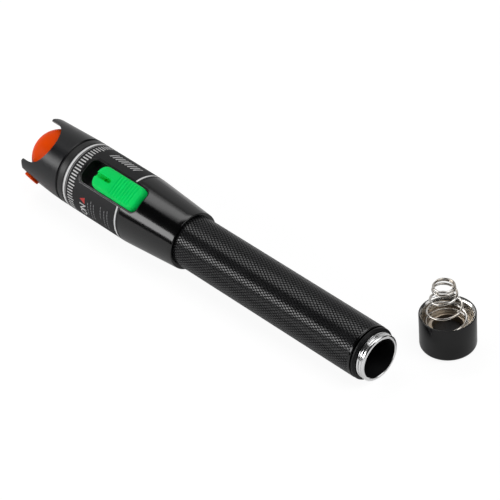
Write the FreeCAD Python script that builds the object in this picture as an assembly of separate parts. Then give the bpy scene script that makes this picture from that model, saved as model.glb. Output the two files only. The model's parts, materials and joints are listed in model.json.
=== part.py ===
import FreeCAD, Part
import math
import os

# A pen-shaped visual fault locator lying at rest, with its tail cap standing beside it.
# Millimetres. Every piece of the pen is built along one axis and then laid on the floor.
# A station is a distance along that axis, from the tube's rear edge towards the nose.
# The nose points to -X, and the switch side starts out facing +Z.

V = FreeCAD.Vector

# Battery tube
cell_bore = 14.94
tube_wall = 2.53
grip_length = 88.0
tail_thread_wall = 1.28
tail_thread_length = 2.8
front_thread_step = 1.0
front_thread_length = 9.8
thread_chamfer = 0.5
tube_edge = 0.35

# Ring seal in front of the tail thread
tail_ring_section = 1.7
tail_ring_sink = 0.1
tail_ring_play = 0.5

# Head
head_diameter = 26.5
head_rear_lip = 1.25
head_length = 60.4
taper_length = 26.2
head_wall = 2.65
head_edge = 0.35
rear_counterbore = 1.4
thread_run_out = 0.4

# Printed wrap round the head
label_thickness = 0.1
label_length = 31.3
label_margin = 0.4
label_cut_margin = 0.2
label_cut_corner = 1.6

# Seam ring between head and nose
seam_width = 0.9
seam_depth = 0.45

# Nose
nose_length = 20.9
nose_taper = 0.65
nose_wall = 1.4
nose_web = 3.5
nose_web_offset = 2.7
spigot_step = 1.45
spigot_length = 5.6
spigot_end_gap = 0.3
spigot_wall = 2.2
prong_depth = 3.6
cutout_depth = 13.0
prong_corner = 2.4
flat_start = 5.7
flat_depth_start = 0.1
flat_depth_tip = 0.95
nose_edge = 0.3

# Soft dust cap, its strap and the stud of the strap
dome_gap = 0.2
dome_centre_offset = 12.4
dome_wall = 2.6
cap_socket_wall = 1.9
cap_skirt_offset = 7.7
cap_roof_gap = 0.6
strap_width = 3.6
strap_thickness = 0.8
strap_channel_side = 0.5
stud_head_diameter = 6.2
stud_head_thickness = 1.1
stud_head_round = 0.35
stud_neck_diameter = 2.8
stud_pin_diameter = 1.6
stud_foot_diameter = 2.6
stud_foot = 0.45
stud_setback = 3.2

# Ferrule port
port_diameter = 8.8
port_reach = 5.0
port_flange_diameter = 16.0
port_flange = 2.4
ferrule_bore = 2.5
ferrule_sleeve_wall = 0.45
ferrule_sleeve_length = 10.0
port_lip = 0.6
port_nut_length = 2.4
port_nut_slot = 2.0
port_nut_play = 0.15
port_chamfer = 0.4
port_lead_in = 0.35
ferrule_play = 0.1

# Laser module
barrel_diameter = 8.6
barrel_length = 20.6
barrel_chamfer = 0.3
diode_base_diameter = 5.6
diode_base = 1.2
diode_can_diameter = 3.6
diode_can_length = 2.3
diode_window = 1.6
diode_window_depth = 0.3
diode_setback = 1.7
diode_lead = 0.45
diode_lead_length = 4.0
diode_lead_circle = 2.04
lens_diameter = 4.6
lens_edge = 1.2
lens_bulge = 0.5
lens_station_offset = 11.2
lens_ring_length = 1.2
beam_bore = 3.6

# Switch button and its window
switch_turn = 30.0
window_start = 19.5
window_length = 31.2
window_width = 11.2
window_corner = 3.0
button_length = 24.6
button_width = 9.7
button_rise = 1.1
button_sink = 4.05
button_rear_corner = 3.0
button_front_corner = 4.2
button_round = 1.0
button_crown = 0.45
button_front_run = 3.0
button_front_drop = 1.2
button_front_belly = 0.3
button_rear_round = 1.2
button_travel = 5.0
button_rear_gap = 0.75
stem_setback = 7.7
stem_length = 3.0
stem_width = 2.6
rib_count = 8
rib_pitch = 1.4
rib_gap = 0.6
rib_depth = 0.3
rib_start = 2.9
groove_length = 9.0
groove_width = 1.5
groove_depth = 1.9
pit_depth = 1.0
pit_spacing = 3.3
pit_diameter = 1.1
tray_wall = 0.45
tray_floor = 2.1
tray_flange = 0.9
tray_flange_reach = 1.1
tray_sink = 0.3

# Switch works and board
board_thickness = 1.6
board_edge_gap = 0.7
board_corner = 1.0
board_start = 18.7
board_length = 22.2
switch_body_length = 13.0
switch_body_width = 5.4
switch_body_height = 3.4
solder_pin = 0.5
solder_pin_reach = 0.8
solder_hole = 0.9
knob_length = 1.6
knob_width = 1.8
knob_height = 1.8
slider_length = 8.0
slider_width = 7.0
slider_thickness = 0.7
fork_thickness = 0.5
fork_overlap = 0.6
knob_foot = 1.2
chip_length = 5.0
chip_setback = 4.5
chip_width = 4.0
chip_height = 1.2
chip_lead_width = 0.4
chip_lead_reach = 1.0
chip_lead_height = 0.35
chip_lift = 0.1
capacitor_diameter = 3.6
capacitor_height = 4.4
capacitor_foot = 0.6
capacitor_waist = 0.1
capacitor_setback = 4.7
carrier_length = 29.6
carrier_wall = 1.2
bulkhead = 1.6
bulkhead_gap = 0.7

# Front battery contact
insulator_setback = 2.2
insulator_thickness = 2.0
contact_diameter = 9.0
contact_thickness = 0.4
contact_dimple = 0.8
contact_dimple_diameter = 2.8
contact_dimple_foot = 4.8
rivet_diameter = 3.0
rivet_head_diameter = 4.8
rivet_head = 0.5
front_spring_diameter = 4.2
front_spring_wire = 0.4
front_spring_turns = 2
tab_thickness = 0.4
tab_width = 6.0
tab_foot = 2.5

# Tail cap
cap_step = 0.05
cap_height = 13.7
cap_thread_gap = 0.1
cap_thread_depth = 5.0
cap_plug_bore = 10.8
cap_plug_depth = 5.4
cap_plug_setback = 2.5
cap_corner = 1.5
cap_mouth_edge = 0.15
cap_lead_in = 0.75
cap_forward = 8.84
cap_aside = 29.67

# Conical contact spring in the tail cap
spring_base_diameter = 15.0
spring_top_diameter = 8.4
spring_wire = 0.85
spring_height = 17.7
spring_open_turns = 3

# Clearances
thread_gap = 0.05
seat_gap = 0.05
slide_gap = 0.2
running_gap = 0.06
rest_gap = 0.01

# Radii
bore_r = cell_bore / 2
tube_r = bore_r + tube_wall
tail_thread_r = bore_r + tail_thread_wall
front_thread_r = tube_r - front_thread_step
ring_floor_r = tube_r - tail_ring_sink - tail_ring_section
head_r = head_diameter / 2
rear_r = tube_r + head_rear_lip
cavity_r = head_r - head_wall
spigot_r = head_r - spigot_step
spigot_bore_r = spigot_r - spigot_wall
tip_r = head_r - nose_taper
nose_bore_r = tip_r - nose_wall
cutout_r = tip_r - prong_depth
dome_r = nose_bore_r - dome_gap
port_r = port_diameter / 2
barrel_r = barrel_diameter / 2
cap_r = tube_r + cap_step
cap_thread_r = tail_thread_r + cap_thread_gap
ferrule_r = ferrule_bore / 2
sleeve_r = ferrule_r + ferrule_sleeve_wall

# Stations along the pen
ring_seat = tail_ring_section + tail_ring_play
tail_face = -(ring_seat + tail_thread_length)
head_rear = grip_length
shoulder = head_rear + taper_length
head_front = head_rear + head_length
nose_rear = head_front + seam_width
nose_tip = nose_rear + nose_length
label_rear = shoulder + label_margin
label_front = label_rear + label_length
tube_front = head_rear + front_thread_length
cavity_rear = tube_front + thread_run_out
insulator_rear = cavity_rear + insulator_setback
insulator_front = insulator_rear + insulator_thickness
board_rear = head_rear + board_start
board_front = board_rear + board_length
carrier_rear = insulator_front + 0.1
carrier_front = carrier_rear + carrier_length
web_rear = nose_rear + nose_web_offset
web_front = web_rear + nose_web
flange_rear = web_rear - port_flange
port_front = web_front + port_reach
sleeve_front = port_front - port_lip
sleeve_rear = sleeve_front - ferrule_sleeve_length
barrel_front = flange_rear
barrel_rear = barrel_front - barrel_length
diode_rear = barrel_rear + diode_setback
lens_rear = barrel_rear + lens_station_offset
dome_centre = nose_rear + dome_centre_offset
skirt_rear = nose_rear + cap_skirt_offset
stud_station = nose_tip - stud_setback
cutout_bottom = nose_tip - cutout_depth
window_rear = head_rear + window_start
window_front = window_rear + window_length
button_rear = window_rear + button_rear_gap
button_front = button_rear + button_length
stem_station = button_rear + stem_setback

# Levels above the pen's axis on the switch side, from the button down to the board
button_height = head_r + button_rise
button_floor = head_r - button_sink
tray_inside = button_floor - slide_gap
tray_bottom = tray_inside - tray_floor
tray_flange_top = tray_bottom + tray_flange
stem_bottom = tray_bottom - slide_gap
knob_top = stem_bottom - slider_thickness
switch_top = knob_top - knob_height
board_top = switch_top - switch_body_height
board_bottom = board_top - board_thickness
board_width = 2 * (cavity_r - board_edge_gap)

# The head's widest edge and the tube's rear edge carry the pen on the floor
pen_tilt = math.degrees(math.atan2(head_r - tube_r, shoulder))
axis_height = tube_r * math.cos(math.radians(pen_tilt))


def at(station, side=0.0, height=0.0):
    """A point of the pen, with the nose towards -X and the switch side up."""
    return V(-station, side, height)


def turned_profile(points):
    """A solid of revolution about the pen's axis, from (station, radius) corners."""
    corners = [at(station, 0, radius) for station, radius in points]
    face = Part.Face(Part.makePolygon(corners + corners[:1]))
    return face.revolve(at(0), V(1, 0, 0), 360)


def pipe(rear, front, outer, inner=0.0):
    """A plain cylinder or pipe between two stations."""
    solid = Part.makeCylinder(outer, front - rear, at(front), V(1, 0, 0))
    if inner > 0:
        solid = solid.cut(Part.makeCylinder(inner, front - rear, at(front), V(1, 0, 0)))
    return solid


def block(rear, front, width, low, high):
    """A box centred on the switch plane, between two stations and two levels."""
    return Part.makeBox(front - rear, width, high - low, at(front, -width / 2, low))


def rounded_slab(rear, front, width, low, high, corner, front_corner=None):
    """A block whose four upright edges are rounded, the two in front by their own radius."""
    solid = block(rear, front, width, low, high)
    middle = at((rear + front) / 2)
    for ahead, radius in ((False, corner), (True, front_corner or corner)):
        chosen = [e for e in solid.Edges if len(e.Vertexes) == 2
                  and abs(e.tangentAt(e.FirstParameter).z) > 0.99
                  and (e.CenterOfMass.x < middle.x) == ahead]
        solid = solid.makeFillet(radius, chosen)
    return solid


def nose_radius(station):
    """The nose's outer radius at a station."""
    return head_r + (tip_r - head_r) * (station - nose_rear) / nose_length


def make_battery_tube():
    """Tube with a smooth bore, a ring seat and a thread at the tail and a thread in the head."""
    neck_front = head_rear + rear_counterbore - seat_gap
    edge = thread_chamfer
    return turned_profile([
        (tail_face, bore_r), (tail_face, tail_thread_r - edge), (tail_face + edge, tail_thread_r),
        (-ring_seat, tail_thread_r), (-ring_seat, ring_floor_r), (0, ring_floor_r),
        (0, tube_r - tube_edge), (tube_edge, tube_r), (neck_front, tube_r),
        (neck_front, front_thread_r), (tube_front - edge, front_thread_r),
        (tube_front, front_thread_r - edge), (tube_front, bore_r)])


def make_tail_o_ring():
    """Round ring lying in its seat in front of the tail thread."""
    half = tail_ring_section / 2
    return Part.makeTorus(ring_floor_r + half, half, at(-ring_seat / 2), V(1, 0, 0))


def window_prism(extra, corner):
    """The switch window in plan, grown by extra on every side, from the pen's axis upwards."""
    return rounded_slab(window_rear - extra, window_front + extra, window_width + 2 * extra,
                        0, 2 * head_r, corner)


def make_head_sleeve():
    """Tapered head, threaded on the tube, with a board cavity, a spigot seat and the window."""
    joint_r = front_thread_r + thread_gap
    label_r = head_r - label_thickness
    spigot_seat = spigot_r + seat_gap
    spigot_end = nose_rear - spigot_length - spigot_end_gap
    entry = head_rear + rear_counterbore
    body = turned_profile([
        (head_rear, tube_r + seat_gap), (head_rear, rear_r - head_edge),
        (head_rear + head_edge, rear_r), (shoulder, head_r),
        (label_rear, head_r), (label_rear, label_r), (label_front, label_r), (label_front, head_r),
        (head_front - head_edge, head_r), (head_front, head_r - head_edge),
        (head_front, spigot_seat), (spigot_end, spigot_seat), (spigot_end, cavity_r),
        (cavity_rear, cavity_r), (cavity_rear, joint_r),
        (entry, joint_r), (entry, tube_r + seat_gap)])
    return body.cut(window_prism(0, window_corner))


def make_label_wrap():
    """Thin wrap round the head's cylinder, cut out round the switch window."""
    wrap = pipe(label_rear, label_front, head_r, head_r - label_thickness)
    return wrap.cut(window_prism(label_cut_margin, label_cut_corner))


def make_seam_ring():
    """Flat black ring on the nose's spigot, a little below the outer surface."""
    return pipe(head_front, nose_rear, head_r - seam_depth, spigot_r)


def nose_cutout():
    """Half-round cut through both sides of the nose, open to the tip."""
    centre = cutout_bottom + cutout_r
    depth = 2 * head_r
    round_end = Part.makeCylinder(cutout_r, 2 * depth, at(centre, 0, -depth))
    run_out = block(centre, nose_tip + 1, 2 * cutout_r, -depth, depth)
    return round_end.fuse(run_out)


def prong_outline():
    """Side outline of the nose, with the corners of the two prongs rounded off."""
    reach = 2 * head_r
    behind = head_front - reach
    bend = nose_tip - prong_corner
    tip_half = math.sqrt(nose_radius(bend) ** 2 - cutout_r ** 2)
    diag = prong_corner * math.sqrt(0.5)
    y = -reach
    inner = tip_half - prong_corner

    def point(station, height):
        return at(station, y, height)

    edges = [
        Part.makeLine(point(behind, reach), point(bend, reach)),
        Part.makeLine(point(bend, reach), point(bend, tip_half)),
        Part.Arc(point(bend, tip_half), point(bend + diag, inner + diag),
                 point(nose_tip, inner)).toShape(),
        Part.makeLine(point(nose_tip, inner), point(nose_tip, -inner)),
        Part.Arc(point(nose_tip, -inner), point(bend + diag, -inner - diag),
                 point(bend, -tip_half)).toShape(),
        Part.makeLine(point(bend, -tip_half), point(bend, -reach)),
        Part.makeLine(point(bend, -reach), point(behind, -reach)),
        Part.makeLine(point(behind, -reach), point(behind, reach))]
    return Part.Face(Part.Wire(edges)).extrude(V(0, 2 * reach, 0))


def flat_depths():
    """Distance of the strap's flat from the axis, at its start and at the tip."""
    start = nose_rear + flat_start
    return start, nose_radius(start) - flat_depth_start, tip_r - flat_depth_tip


def flat_distance(station):
    """Distance of the strap's flat from the axis at a station."""
    start, near, far = flat_depths()
    return near + (far - near) * (station - start) / (nose_tip - start)


def strap_flat():
    """Slanting flat milled on the outside of the lower prong."""
    start = nose_rear
    end = nose_tip + 1
    low = -head_r
    corners = [at(start, -flat_distance(start), low), at(end, -flat_distance(end), low),
               at(end, 2 * low, low), at(start, 2 * low, low)]
    return Part.Face(Part.makePolygon(corners + corners[:1])).extrude(V(0, 0, 2 * head_r))


def flat_normal():
    """Unit vector that points out of the strap's flat."""
    start, near, far = flat_depths()
    slope = math.atan2(near - far, nose_tip - start)
    return V(-math.sin(slope), -math.cos(slope), 0)


def stud_point(out):
    """A point on the stud's axis, a distance out from the flat."""
    return at(stud_station, -flat_distance(stud_station)) + flat_normal() * out


def make_nose_shell():
    """Thin-walled tapered nose with a web for the port, two cut-outs, two prongs and one flat."""
    shell = turned_profile([
        (nose_rear, spigot_r), (nose_rear, head_r - nose_edge), (nose_rear + nose_edge, head_r),
        (nose_tip - nose_edge, tip_r), (nose_tip, tip_r - nose_edge),
        (nose_tip, nose_bore_r), (web_front, nose_bore_r), (web_front, port_r + seat_gap),
        (web_rear, port_r + seat_gap), (web_rear, spigot_bore_r),
        (nose_rear - spigot_length, spigot_bore_r), (nose_rear - spigot_length, spigot_r)])
    shell = shell.cut(nose_cutout()).common(prong_outline()).cut(strap_flat())
    neck_hole = Part.makeCylinder(stud_neck_diameter / 2 + seat_gap, 2 * prong_depth,
                                  stud_point(prong_depth), flat_normal() * -1)
    return shell.cut(neck_hole)


def make_dust_cap():
    """Soft domed cap with a skirt, a socket that plugs over the port and room for its strap."""
    socket_r = port_r + running_gap
    socket_outer = socket_r + cap_socket_wall
    inner_r = dome_r - dome_wall
    roof = port_front + cap_roof_gap
    centre = at(dome_centre)
    dome = Part.makeSphere(dome_r, centre).common(pipe(dome_centre, nose_tip + dome_r, dome_r + 1))
    body = dome.fuse(pipe(skirt_rear, dome_centre, dome_r))
    hollow = Part.makeSphere(inner_r, centre).fuse(pipe(skirt_rear - 1, dome_centre, inner_r))
    boss = pipe(skirt_rear, dome_centre + inner_r, socket_outer)
    body = body.cut(hollow).fuse(boss.common(Part.makeSphere(dome_r - dome_gap, centre)
                                             .fuse(pipe(skirt_rear, dome_centre, inner_r))))
    body = body.cut(pipe(skirt_rear - 1, roof, socket_r))
    depth = dome_r - strap_inner() + stud_foot + slide_gap
    width = strap_width + 2 * strap_channel_side
    channel = Part.makeBox(2 * nose_length, depth + 1, width,
                           at(skirt_rear + 2 * nose_length - 1, -dome_r - 1, -width / 2))
    return body.cut(channel).removeSplitter()


def strap_inner():
    """Distance of the strap's inner face from the axis, its edges just clear of the bore."""
    return math.sqrt(nose_bore_r ** 2 - (strap_width / 2) ** 2) - seat_gap - strap_thickness


def make_cap_strap():
    """Flat strap along the inside of the lower prong, hooked under the cap's skirt."""
    inner = strap_inner()
    outer = inner + strap_thickness
    foot_rear = web_front + seat_gap
    foot_front = skirt_rear - slide_gap
    run = block(foot_rear, stud_station, strap_width, inner, outer)
    eye = Part.makeCylinder(strap_width / 2, strap_thickness, at(stud_station, 0, inner))
    foot = block(foot_rear, foot_front, strap_width, dome_r - dome_wall, outer)
    strap = run.fuse(eye).fuse(foot)
    hole = Part.makeCylinder(stud_pin_diameter / 2 + seat_gap, 2 * outer,
                             at(stud_station, 0, 0))
    strap = strap.cut(hole)
    strap.rotate(at(0), V(1, 0, 0), 90)
    return strap.removeSplitter()


def make_strap_stud():
    """Round head on the flat, a neck through the prong and a flanged pin in the strap's eye."""
    head = Part.makeCylinder(stud_head_diameter / 2, stud_head_thickness,
                             stud_point(0), flat_normal())
    rim = [e for e in head.Edges if e.Closed
           and (e.CenterOfMass - stud_point(stud_head_thickness)).Length < 0.01]
    head = head.makeFillet(stud_head_round, rim)
    inner = strap_inner()
    outer = inner + strap_thickness
    inward = V(0, 1, 0)
    neck = Part.makeCylinder(stud_neck_diameter / 2, stud_head_thickness + prong_depth,
                             stud_point(stud_head_thickness / 2), flat_normal() * -1)
    neck = neck.common(strap_side(outer + seat_gap))
    pin = Part.makeCylinder(stud_pin_diameter / 2, outer - inner + 2 * stud_foot,
                            at(stud_station, -outer - stud_foot), inward)
    foot = Part.makeCylinder(stud_foot_diameter / 2, stud_foot,
                             at(stud_station, -inner + seat_gap), inward)
    return head.fuse(neck).fuse(pin).fuse(foot).removeSplitter()


def strap_side(distance):
    """Everything on the strap's side that is further from the axis than a distance."""
    reach = 2 * head_r
    return Part.makeBox(2 * reach, reach, 2 * reach,
                        at(nose_tip + reach, -distance - reach, -reach))


def make_port_nozzle():
    """Turned port with a flange behind the web, stepped for the ceramic sleeve."""
    mouth_r = ferrule_r + ferrule_play
    edge = port_chamfer
    return turned_profile([
        (flange_rear, ferrule_r), (flange_rear, port_flange_diameter / 2),
        (web_rear - seat_gap, port_flange_diameter / 2), (web_rear - seat_gap, port_r),
        (port_front - edge, port_r), (port_front, port_r - edge),
        (port_front, mouth_r + port_lead_in), (port_front - port_lead_in, mouth_r),
        (sleeve_front, mouth_r), (sleeve_front, sleeve_r + seat_gap),
        (sleeve_rear, sleeve_r + seat_gap), (sleeve_rear, ferrule_r)])


def make_ferrule_sleeve():
    """Ceramic sleeve that lines up a 2.5 mm ferrule."""
    return pipe(sleeve_rear + seat_gap, sleeve_front - seat_gap, sleeve_r, ferrule_r)


def make_port_nut():
    """Ring nut that clamps the port's flange against the web, with two spanner slots."""
    ring = pipe(flange_rear - port_nut_length, flange_rear, spigot_bore_r - thread_gap,
                barrel_r + port_nut_play)
    slot = block(flange_rear - port_nut_length - 1, flange_rear - port_nut_length + 1,
                 port_nut_slot, -spigot_r, spigot_r)
    return ring.cut(slot)


def make_laser_barrel():
    """Brass barrel with a diode seat at the back, a lens seat and a beam hole in front."""
    diode_r = diode_base_diameter / 2 + seat_gap
    lens_r = lens_diameter / 2 + seat_gap
    return turned_profile([
        (barrel_rear, diode_r), (barrel_rear, barrel_r - barrel_chamfer),
        (barrel_rear + barrel_chamfer, barrel_r),
        (barrel_front, barrel_r), (barrel_front, beam_bore / 2),
        (lens_rear + lens_edge, beam_bore / 2), (lens_rear + lens_edge, lens_r),
        (lens_rear, lens_r), (lens_rear, diode_r)])


def make_laser_diode():
    """Metal-can diode: base, can with a window hole, three leads, two of them under the board."""
    base = pipe(diode_rear, diode_rear + diode_base, diode_base_diameter / 2)
    can_front = diode_rear + diode_base + diode_can_length
    can = pipe(diode_rear + diode_base, can_front, diode_can_diameter / 2)
    window = pipe(can_front - diode_window_depth, can_front + 1, diode_window / 2)
    solid = base.fuse(can).cut(window)
    lead_r = diode_lead / 2
    above = board_top + lead_r
    below = board_bottom - lead_r
    for side, height in ((0.0, above), (-diode_lead_circle / 2, below),
                         (diode_lead_circle / 2, below)):
        lead = Part.makeCylinder(lead_r, diode_lead_length + lead_r,
                                 at(diode_rear + lead_r, side, height), V(1, 0, 0))
        solid = solid.fuse(lead)
    return solid.removeSplitter()


def make_lens():
    """Small double-convex lens with a flat rim."""
    rim_r = lens_diameter / 2
    dish_r = beam_bore / 2 - seat_gap
    front = lens_rear + lens_edge
    chord = (dish_r ** 2 + lens_bulge ** 2) / (2 * lens_bulge)
    disc = pipe(lens_rear, front, rim_r)
    cut_to = pipe(lens_rear - 2, front + 2, dish_r)
    forward = Part.makeSphere(chord, at(front + lens_bulge - chord))
    backward = Part.makeSphere(chord, at(lens_rear - lens_bulge + chord))
    bulges = forward.common(backward).common(cut_to)
    return disc.fuse(bulges).removeSplitter()


def make_lens_ring():
    """Threaded ring that holds the lens in its seat."""
    return pipe(lens_rear - lens_ring_length, lens_rear, diode_base_diameter / 2, beam_bore / 2)


def head_envelope(inset):
    """The head's outer form, set in by a small distance."""
    return turned_profile([
        (head_rear, 0), (head_rear, rear_r - inset), (shoulder, head_r - inset),
        (head_front, head_r - inset), (head_front, 0)])


def make_switch_tray():
    """Black tray in the window: thin walls, a floor with a slot for the stem, a flange inside."""
    outer_corner = window_corner - seat_gap
    outer = rounded_slab(window_rear + seat_gap, window_front - seat_gap,
                         window_width - 2 * seat_gap, tray_bottom, head_r + 1, outer_corner)
    outer = outer.common(head_envelope(tray_sink))
    hollow = rounded_slab(window_rear + seat_gap + tray_wall, window_front - seat_gap - tray_wall,
                          window_width - 2 * (seat_gap + tray_wall), tray_inside, head_r + 2,
                          outer_corner - tray_wall)
    flange = block(window_rear - tray_flange_reach, window_front + tray_flange_reach,
                   window_width + 2 * tray_flange_reach, tray_bottom, tray_flange_top)
    flange = flange.common(pipe(window_rear - 5, window_front + 5, cavity_r - seat_gap))
    slot_rear = stem_station - stem_length / 2 - slide_gap
    slot_front = stem_station + stem_length / 2 + button_travel + slide_gap
    slot = block(slot_rear, slot_front, stem_width + 2 * slide_gap, tray_bottom - 1, button_floor)
    return outer.cut(hollow).fuse(flange).cut(slot).removeSplitter()


def button_plan():
    """The button's outline in plan, as an upright prism."""
    return rounded_slab(button_rear, button_front, button_width, button_floor,
                        button_height + 1, button_rear_corner, button_front_corner)


def button_side():
    """The button's side outline: level top, a long round in front and a short one behind."""
    y = -button_width
    high = button_height
    low = button_floor
    diag = 1 - math.sqrt(0.5)
    round_end = button_rear + button_rear_round
    run_start = button_front - button_front_run

    def point(station, height):
        return at(station, y, height)

    front_mid = point(run_start + button_front_run * (1 - button_front_belly),
                      high - button_front_drop * button_front_belly)
    rear_mid = point(button_rear + button_rear_round * diag, high - button_rear_round * diag)
    edges = [
        Part.makeLine(point(button_rear, low), point(button_rear, high - button_rear_round)),
        Part.Arc(point(button_rear, high - button_rear_round), rear_mid,
                 point(round_end, high)).toShape(),
        Part.makeLine(point(round_end, high), point(run_start, high)),
        Part.Arc(point(run_start, high), front_mid,
                 point(button_front, high - button_front_drop)).toShape(),
        Part.makeLine(point(button_front, high - button_front_drop), point(button_front, low)),
        Part.makeLine(point(button_front, low), point(button_rear, low))]
    return Part.Face(Part.Wire(edges)).extrude(V(0, 2 * button_width, 0))


def crown_radius():
    """Radius of the button's crowned top across its width."""
    half = button_width / 2
    return (half ** 2 + button_crown ** 2) / (2 * button_crown)


def crowned_bar(inset, corner):
    """A bar along the pen with a crowned top and rounded upper edges."""
    half = button_width / 2
    radius = crown_radius()
    edge_level = button_height - radius + math.sqrt(radius ** 2 - (half - corner) ** 2) - inset
    diag = corner * (1 - math.sqrt(0.5))
    station = button_front + 2

    def point(side, height):
        return at(station, side, height)

    edges = [
        Part.makeLine(point(-half, button_floor), point(-half, edge_level - corner)),
        Part.Arc(point(-half, edge_level - corner), point(-half + diag, edge_level - diag),
                 point(-half + corner, edge_level)).toShape(),
        Part.Arc(point(-half + corner, edge_level), point(0, button_height - inset),
                 point(half - corner, edge_level)).toShape(),
        Part.Arc(point(half - corner, edge_level), point(half - diag, edge_level - diag),
                 point(half, edge_level - corner)).toShape(),
        Part.makeLine(point(half, edge_level - corner), point(half, button_floor)),
        Part.makeLine(point(half, button_floor), point(-half, button_floor))]
    return Part.Face(Part.Wire(edges)).extrude(V(button_length + 4, 0, 0))


def make_switch_button():
    """Crowned slide button with grip ribs, a keyhole groove and a stem through the tray."""
    body = button_plan().common(button_side()).common(crowned_bar(0, button_round))
    below_ribs = crowned_bar(rib_depth, button_round)
    for index in range(rib_count):
        station = button_rear + rib_start + index * rib_pitch
        gap = block(station, station + rib_gap, button_width + 2,
                    button_height - 2 * button_round, button_height + 1)
        body = body.cut(gap.cut(below_ribs))
    groove_rear = button_front - groove_length
    eye_r = groove_width / 2
    groove = block(groove_rear + eye_r, button_front + 1, groove_width,
                   button_height - groove_depth, button_height + 1)
    groove = groove.fuse(upright(groove_rear + eye_r, 0, eye_r,
                                 button_height - groove_depth, button_height + 1))
    for index in (0, 1):
        pit = upright(groove_rear + eye_r + index * pit_spacing, 0, pit_diameter / 2,
                      button_height - groove_depth - pit_depth, button_height)
        groove = groove.fuse(pit)
    stem = block(stem_station - stem_length / 2, stem_station + stem_length / 2, stem_width,
                 stem_bottom, button_floor + button_round)
    return body.cut(groove).fuse(stem).removeSplitter()


def make_switch_slider():
    """Plate under the stem with two forks that hold the knob of the slide switch."""
    plate = block(stem_station - slider_length / 2, stem_station + slider_length / 2,
                  slider_width, knob_top, stem_bottom)
    fork_low = switch_top + slide_gap
    solid = plate
    for side in (-1, 1):
        near = stem_station + side * (knob_length / 2)
        far = near + side * fork_thickness
        solid = solid.fuse(block(min(near, far), max(near, far), knob_width + 2 * fork_overlap,
                                 fork_low, knob_top))
    return solid.removeSplitter()


def make_switch_knob():
    """Knob of the slide switch, with a foot inside the switch's slot."""
    top = block(stem_station - knob_length / 2, stem_station + knob_length / 2, knob_width,
                switch_top - knob_foot, knob_top)
    return top


def make_slide_switch():
    """Body of the slide switch on the board, slotted for its knob, with three solder pins."""
    middle = stem_station + button_travel / 2
    rear = middle - switch_body_length / 2
    front = middle + switch_body_length / 2
    body = block(rear, front, switch_body_width, board_top, switch_top)
    slot = block(stem_station - knob_length / 2 - slide_gap,
                 stem_station + knob_length / 2 + button_travel + slide_gap,
                 knob_width + 2 * slide_gap, switch_top - knob_foot - slide_gap, knob_top)
    body = body.cut(slot)
    for index in (-1, 0, 1):
        station = middle + index * switch_body_length / 4
        pin = block(station - solder_pin / 2, station + solder_pin / 2, solder_pin,
                    board_bottom - solder_pin_reach, switch_top - knob_foot - 2 * slide_gap)
        body = body.fuse(pin)
    return body.removeSplitter()


def make_driver_board():
    """Circuit board on the switch plane, drilled for the pins of the slide switch."""
    board = rounded_slab(board_rear, board_front, board_width, board_bottom, board_top,
                         board_corner)
    middle = stem_station + button_travel / 2
    for index in (-1, 0, 1):
        station = middle + index * switch_body_length / 4
        board = board.cut(upright(station, 0, solder_hole / 2, board_bottom - 1, board_top + 1))
    return board


def upright(station, side, radius, low, high):
    """An upright cylinder, between two levels."""
    return Part.makeCylinder(radius, high - low, at(station, side, low))


def make_driver_chip():
    """Driver chip under the board, with four leads on each side."""
    middle = board_rear + chip_setback
    body = block(middle - chip_length / 2, middle + chip_length / 2, chip_width,
                 board_bottom - chip_height, board_bottom - chip_lift)
    for index in range(4):
        station = middle + (index - 1.5) * chip_length / 4
        lead = block(station - chip_lead_width / 2, station + chip_lead_width / 2,
                     chip_width + 2 * chip_lead_reach, board_bottom - chip_lead_height,
                     board_bottom)
        body = body.fuse(lead)
    return body.removeSplitter()


def make_filter_capacitor():
    """Round can capacitor under the board, in front of the driver chip."""
    station = board_front - capacitor_setback
    base = block(station - capacitor_diameter / 2, station + capacitor_diameter / 2,
                 capacitor_diameter, board_bottom - capacitor_foot, board_bottom)
    can = upright(station, 0, capacitor_diameter / 2 - capacitor_waist,
                  board_bottom - capacitor_height, board_bottom - capacitor_foot)
    return base.fuse(can).removeSplitter()


def make_board_carrier():
    """Plastic cradle under the board, with a bulkhead in front that holds the laser barrel."""
    outer = cavity_r - seat_gap
    shell = pipe(carrier_rear, carrier_front, outer, outer - carrier_wall)
    lower = block(carrier_rear - 1, carrier_front + 1, 4 * outer, -2 * outer,
                  board_bottom - rest_gap)
    cradle = shell.common(lower)
    wall = pipe(carrier_front - bulkhead, carrier_front, outer, barrel_r + seat_gap)
    wall = wall.common(block(carrier_front - bulkhead - 1, carrier_front + 1, 4 * outer,
                             -2 * outer, tray_bottom - bulkhead_gap))
    return cradle.fuse(wall).removeSplitter()


def make_contact_insulator():
    """Plastic disc in front of the tube, with a collar that stands on the cavity's step."""
    outer = cavity_r - seat_gap
    inner = front_thread_r + thread_gap
    rivet_r = rivet_diameter / 2
    return turned_profile([
        (cavity_rear, outer), (insulator_front, outer), (insulator_front, rivet_r),
        (insulator_rear, rivet_r), (insulator_rear, inner), (cavity_rear, inner)])


def make_contact_plate():
    """Brass plate with a raised centre, facing the positive end of the cells."""
    rear = insulator_rear - contact_thickness
    plate = pipe(rear, insulator_rear, contact_diameter / 2)
    dimple = turned_profile([
        (rear - contact_dimple, 0), (rear - contact_dimple, contact_dimple_diameter / 2),
        (rear, contact_dimple_foot / 2), (insulator_rear, contact_dimple_foot / 2),
        (insulator_rear, 0)])
    return plate.fuse(dimple).removeSplitter()


def make_contact_rivet():
    """Rivet through the insulator, with a head in front that carries the spring."""
    shank = pipe(insulator_rear, insulator_front, rivet_diameter / 2)
    head = pipe(insulator_front, insulator_front + rivet_head, rivet_head_diameter / 2)
    return shank.fuse(head).removeSplitter()


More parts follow.
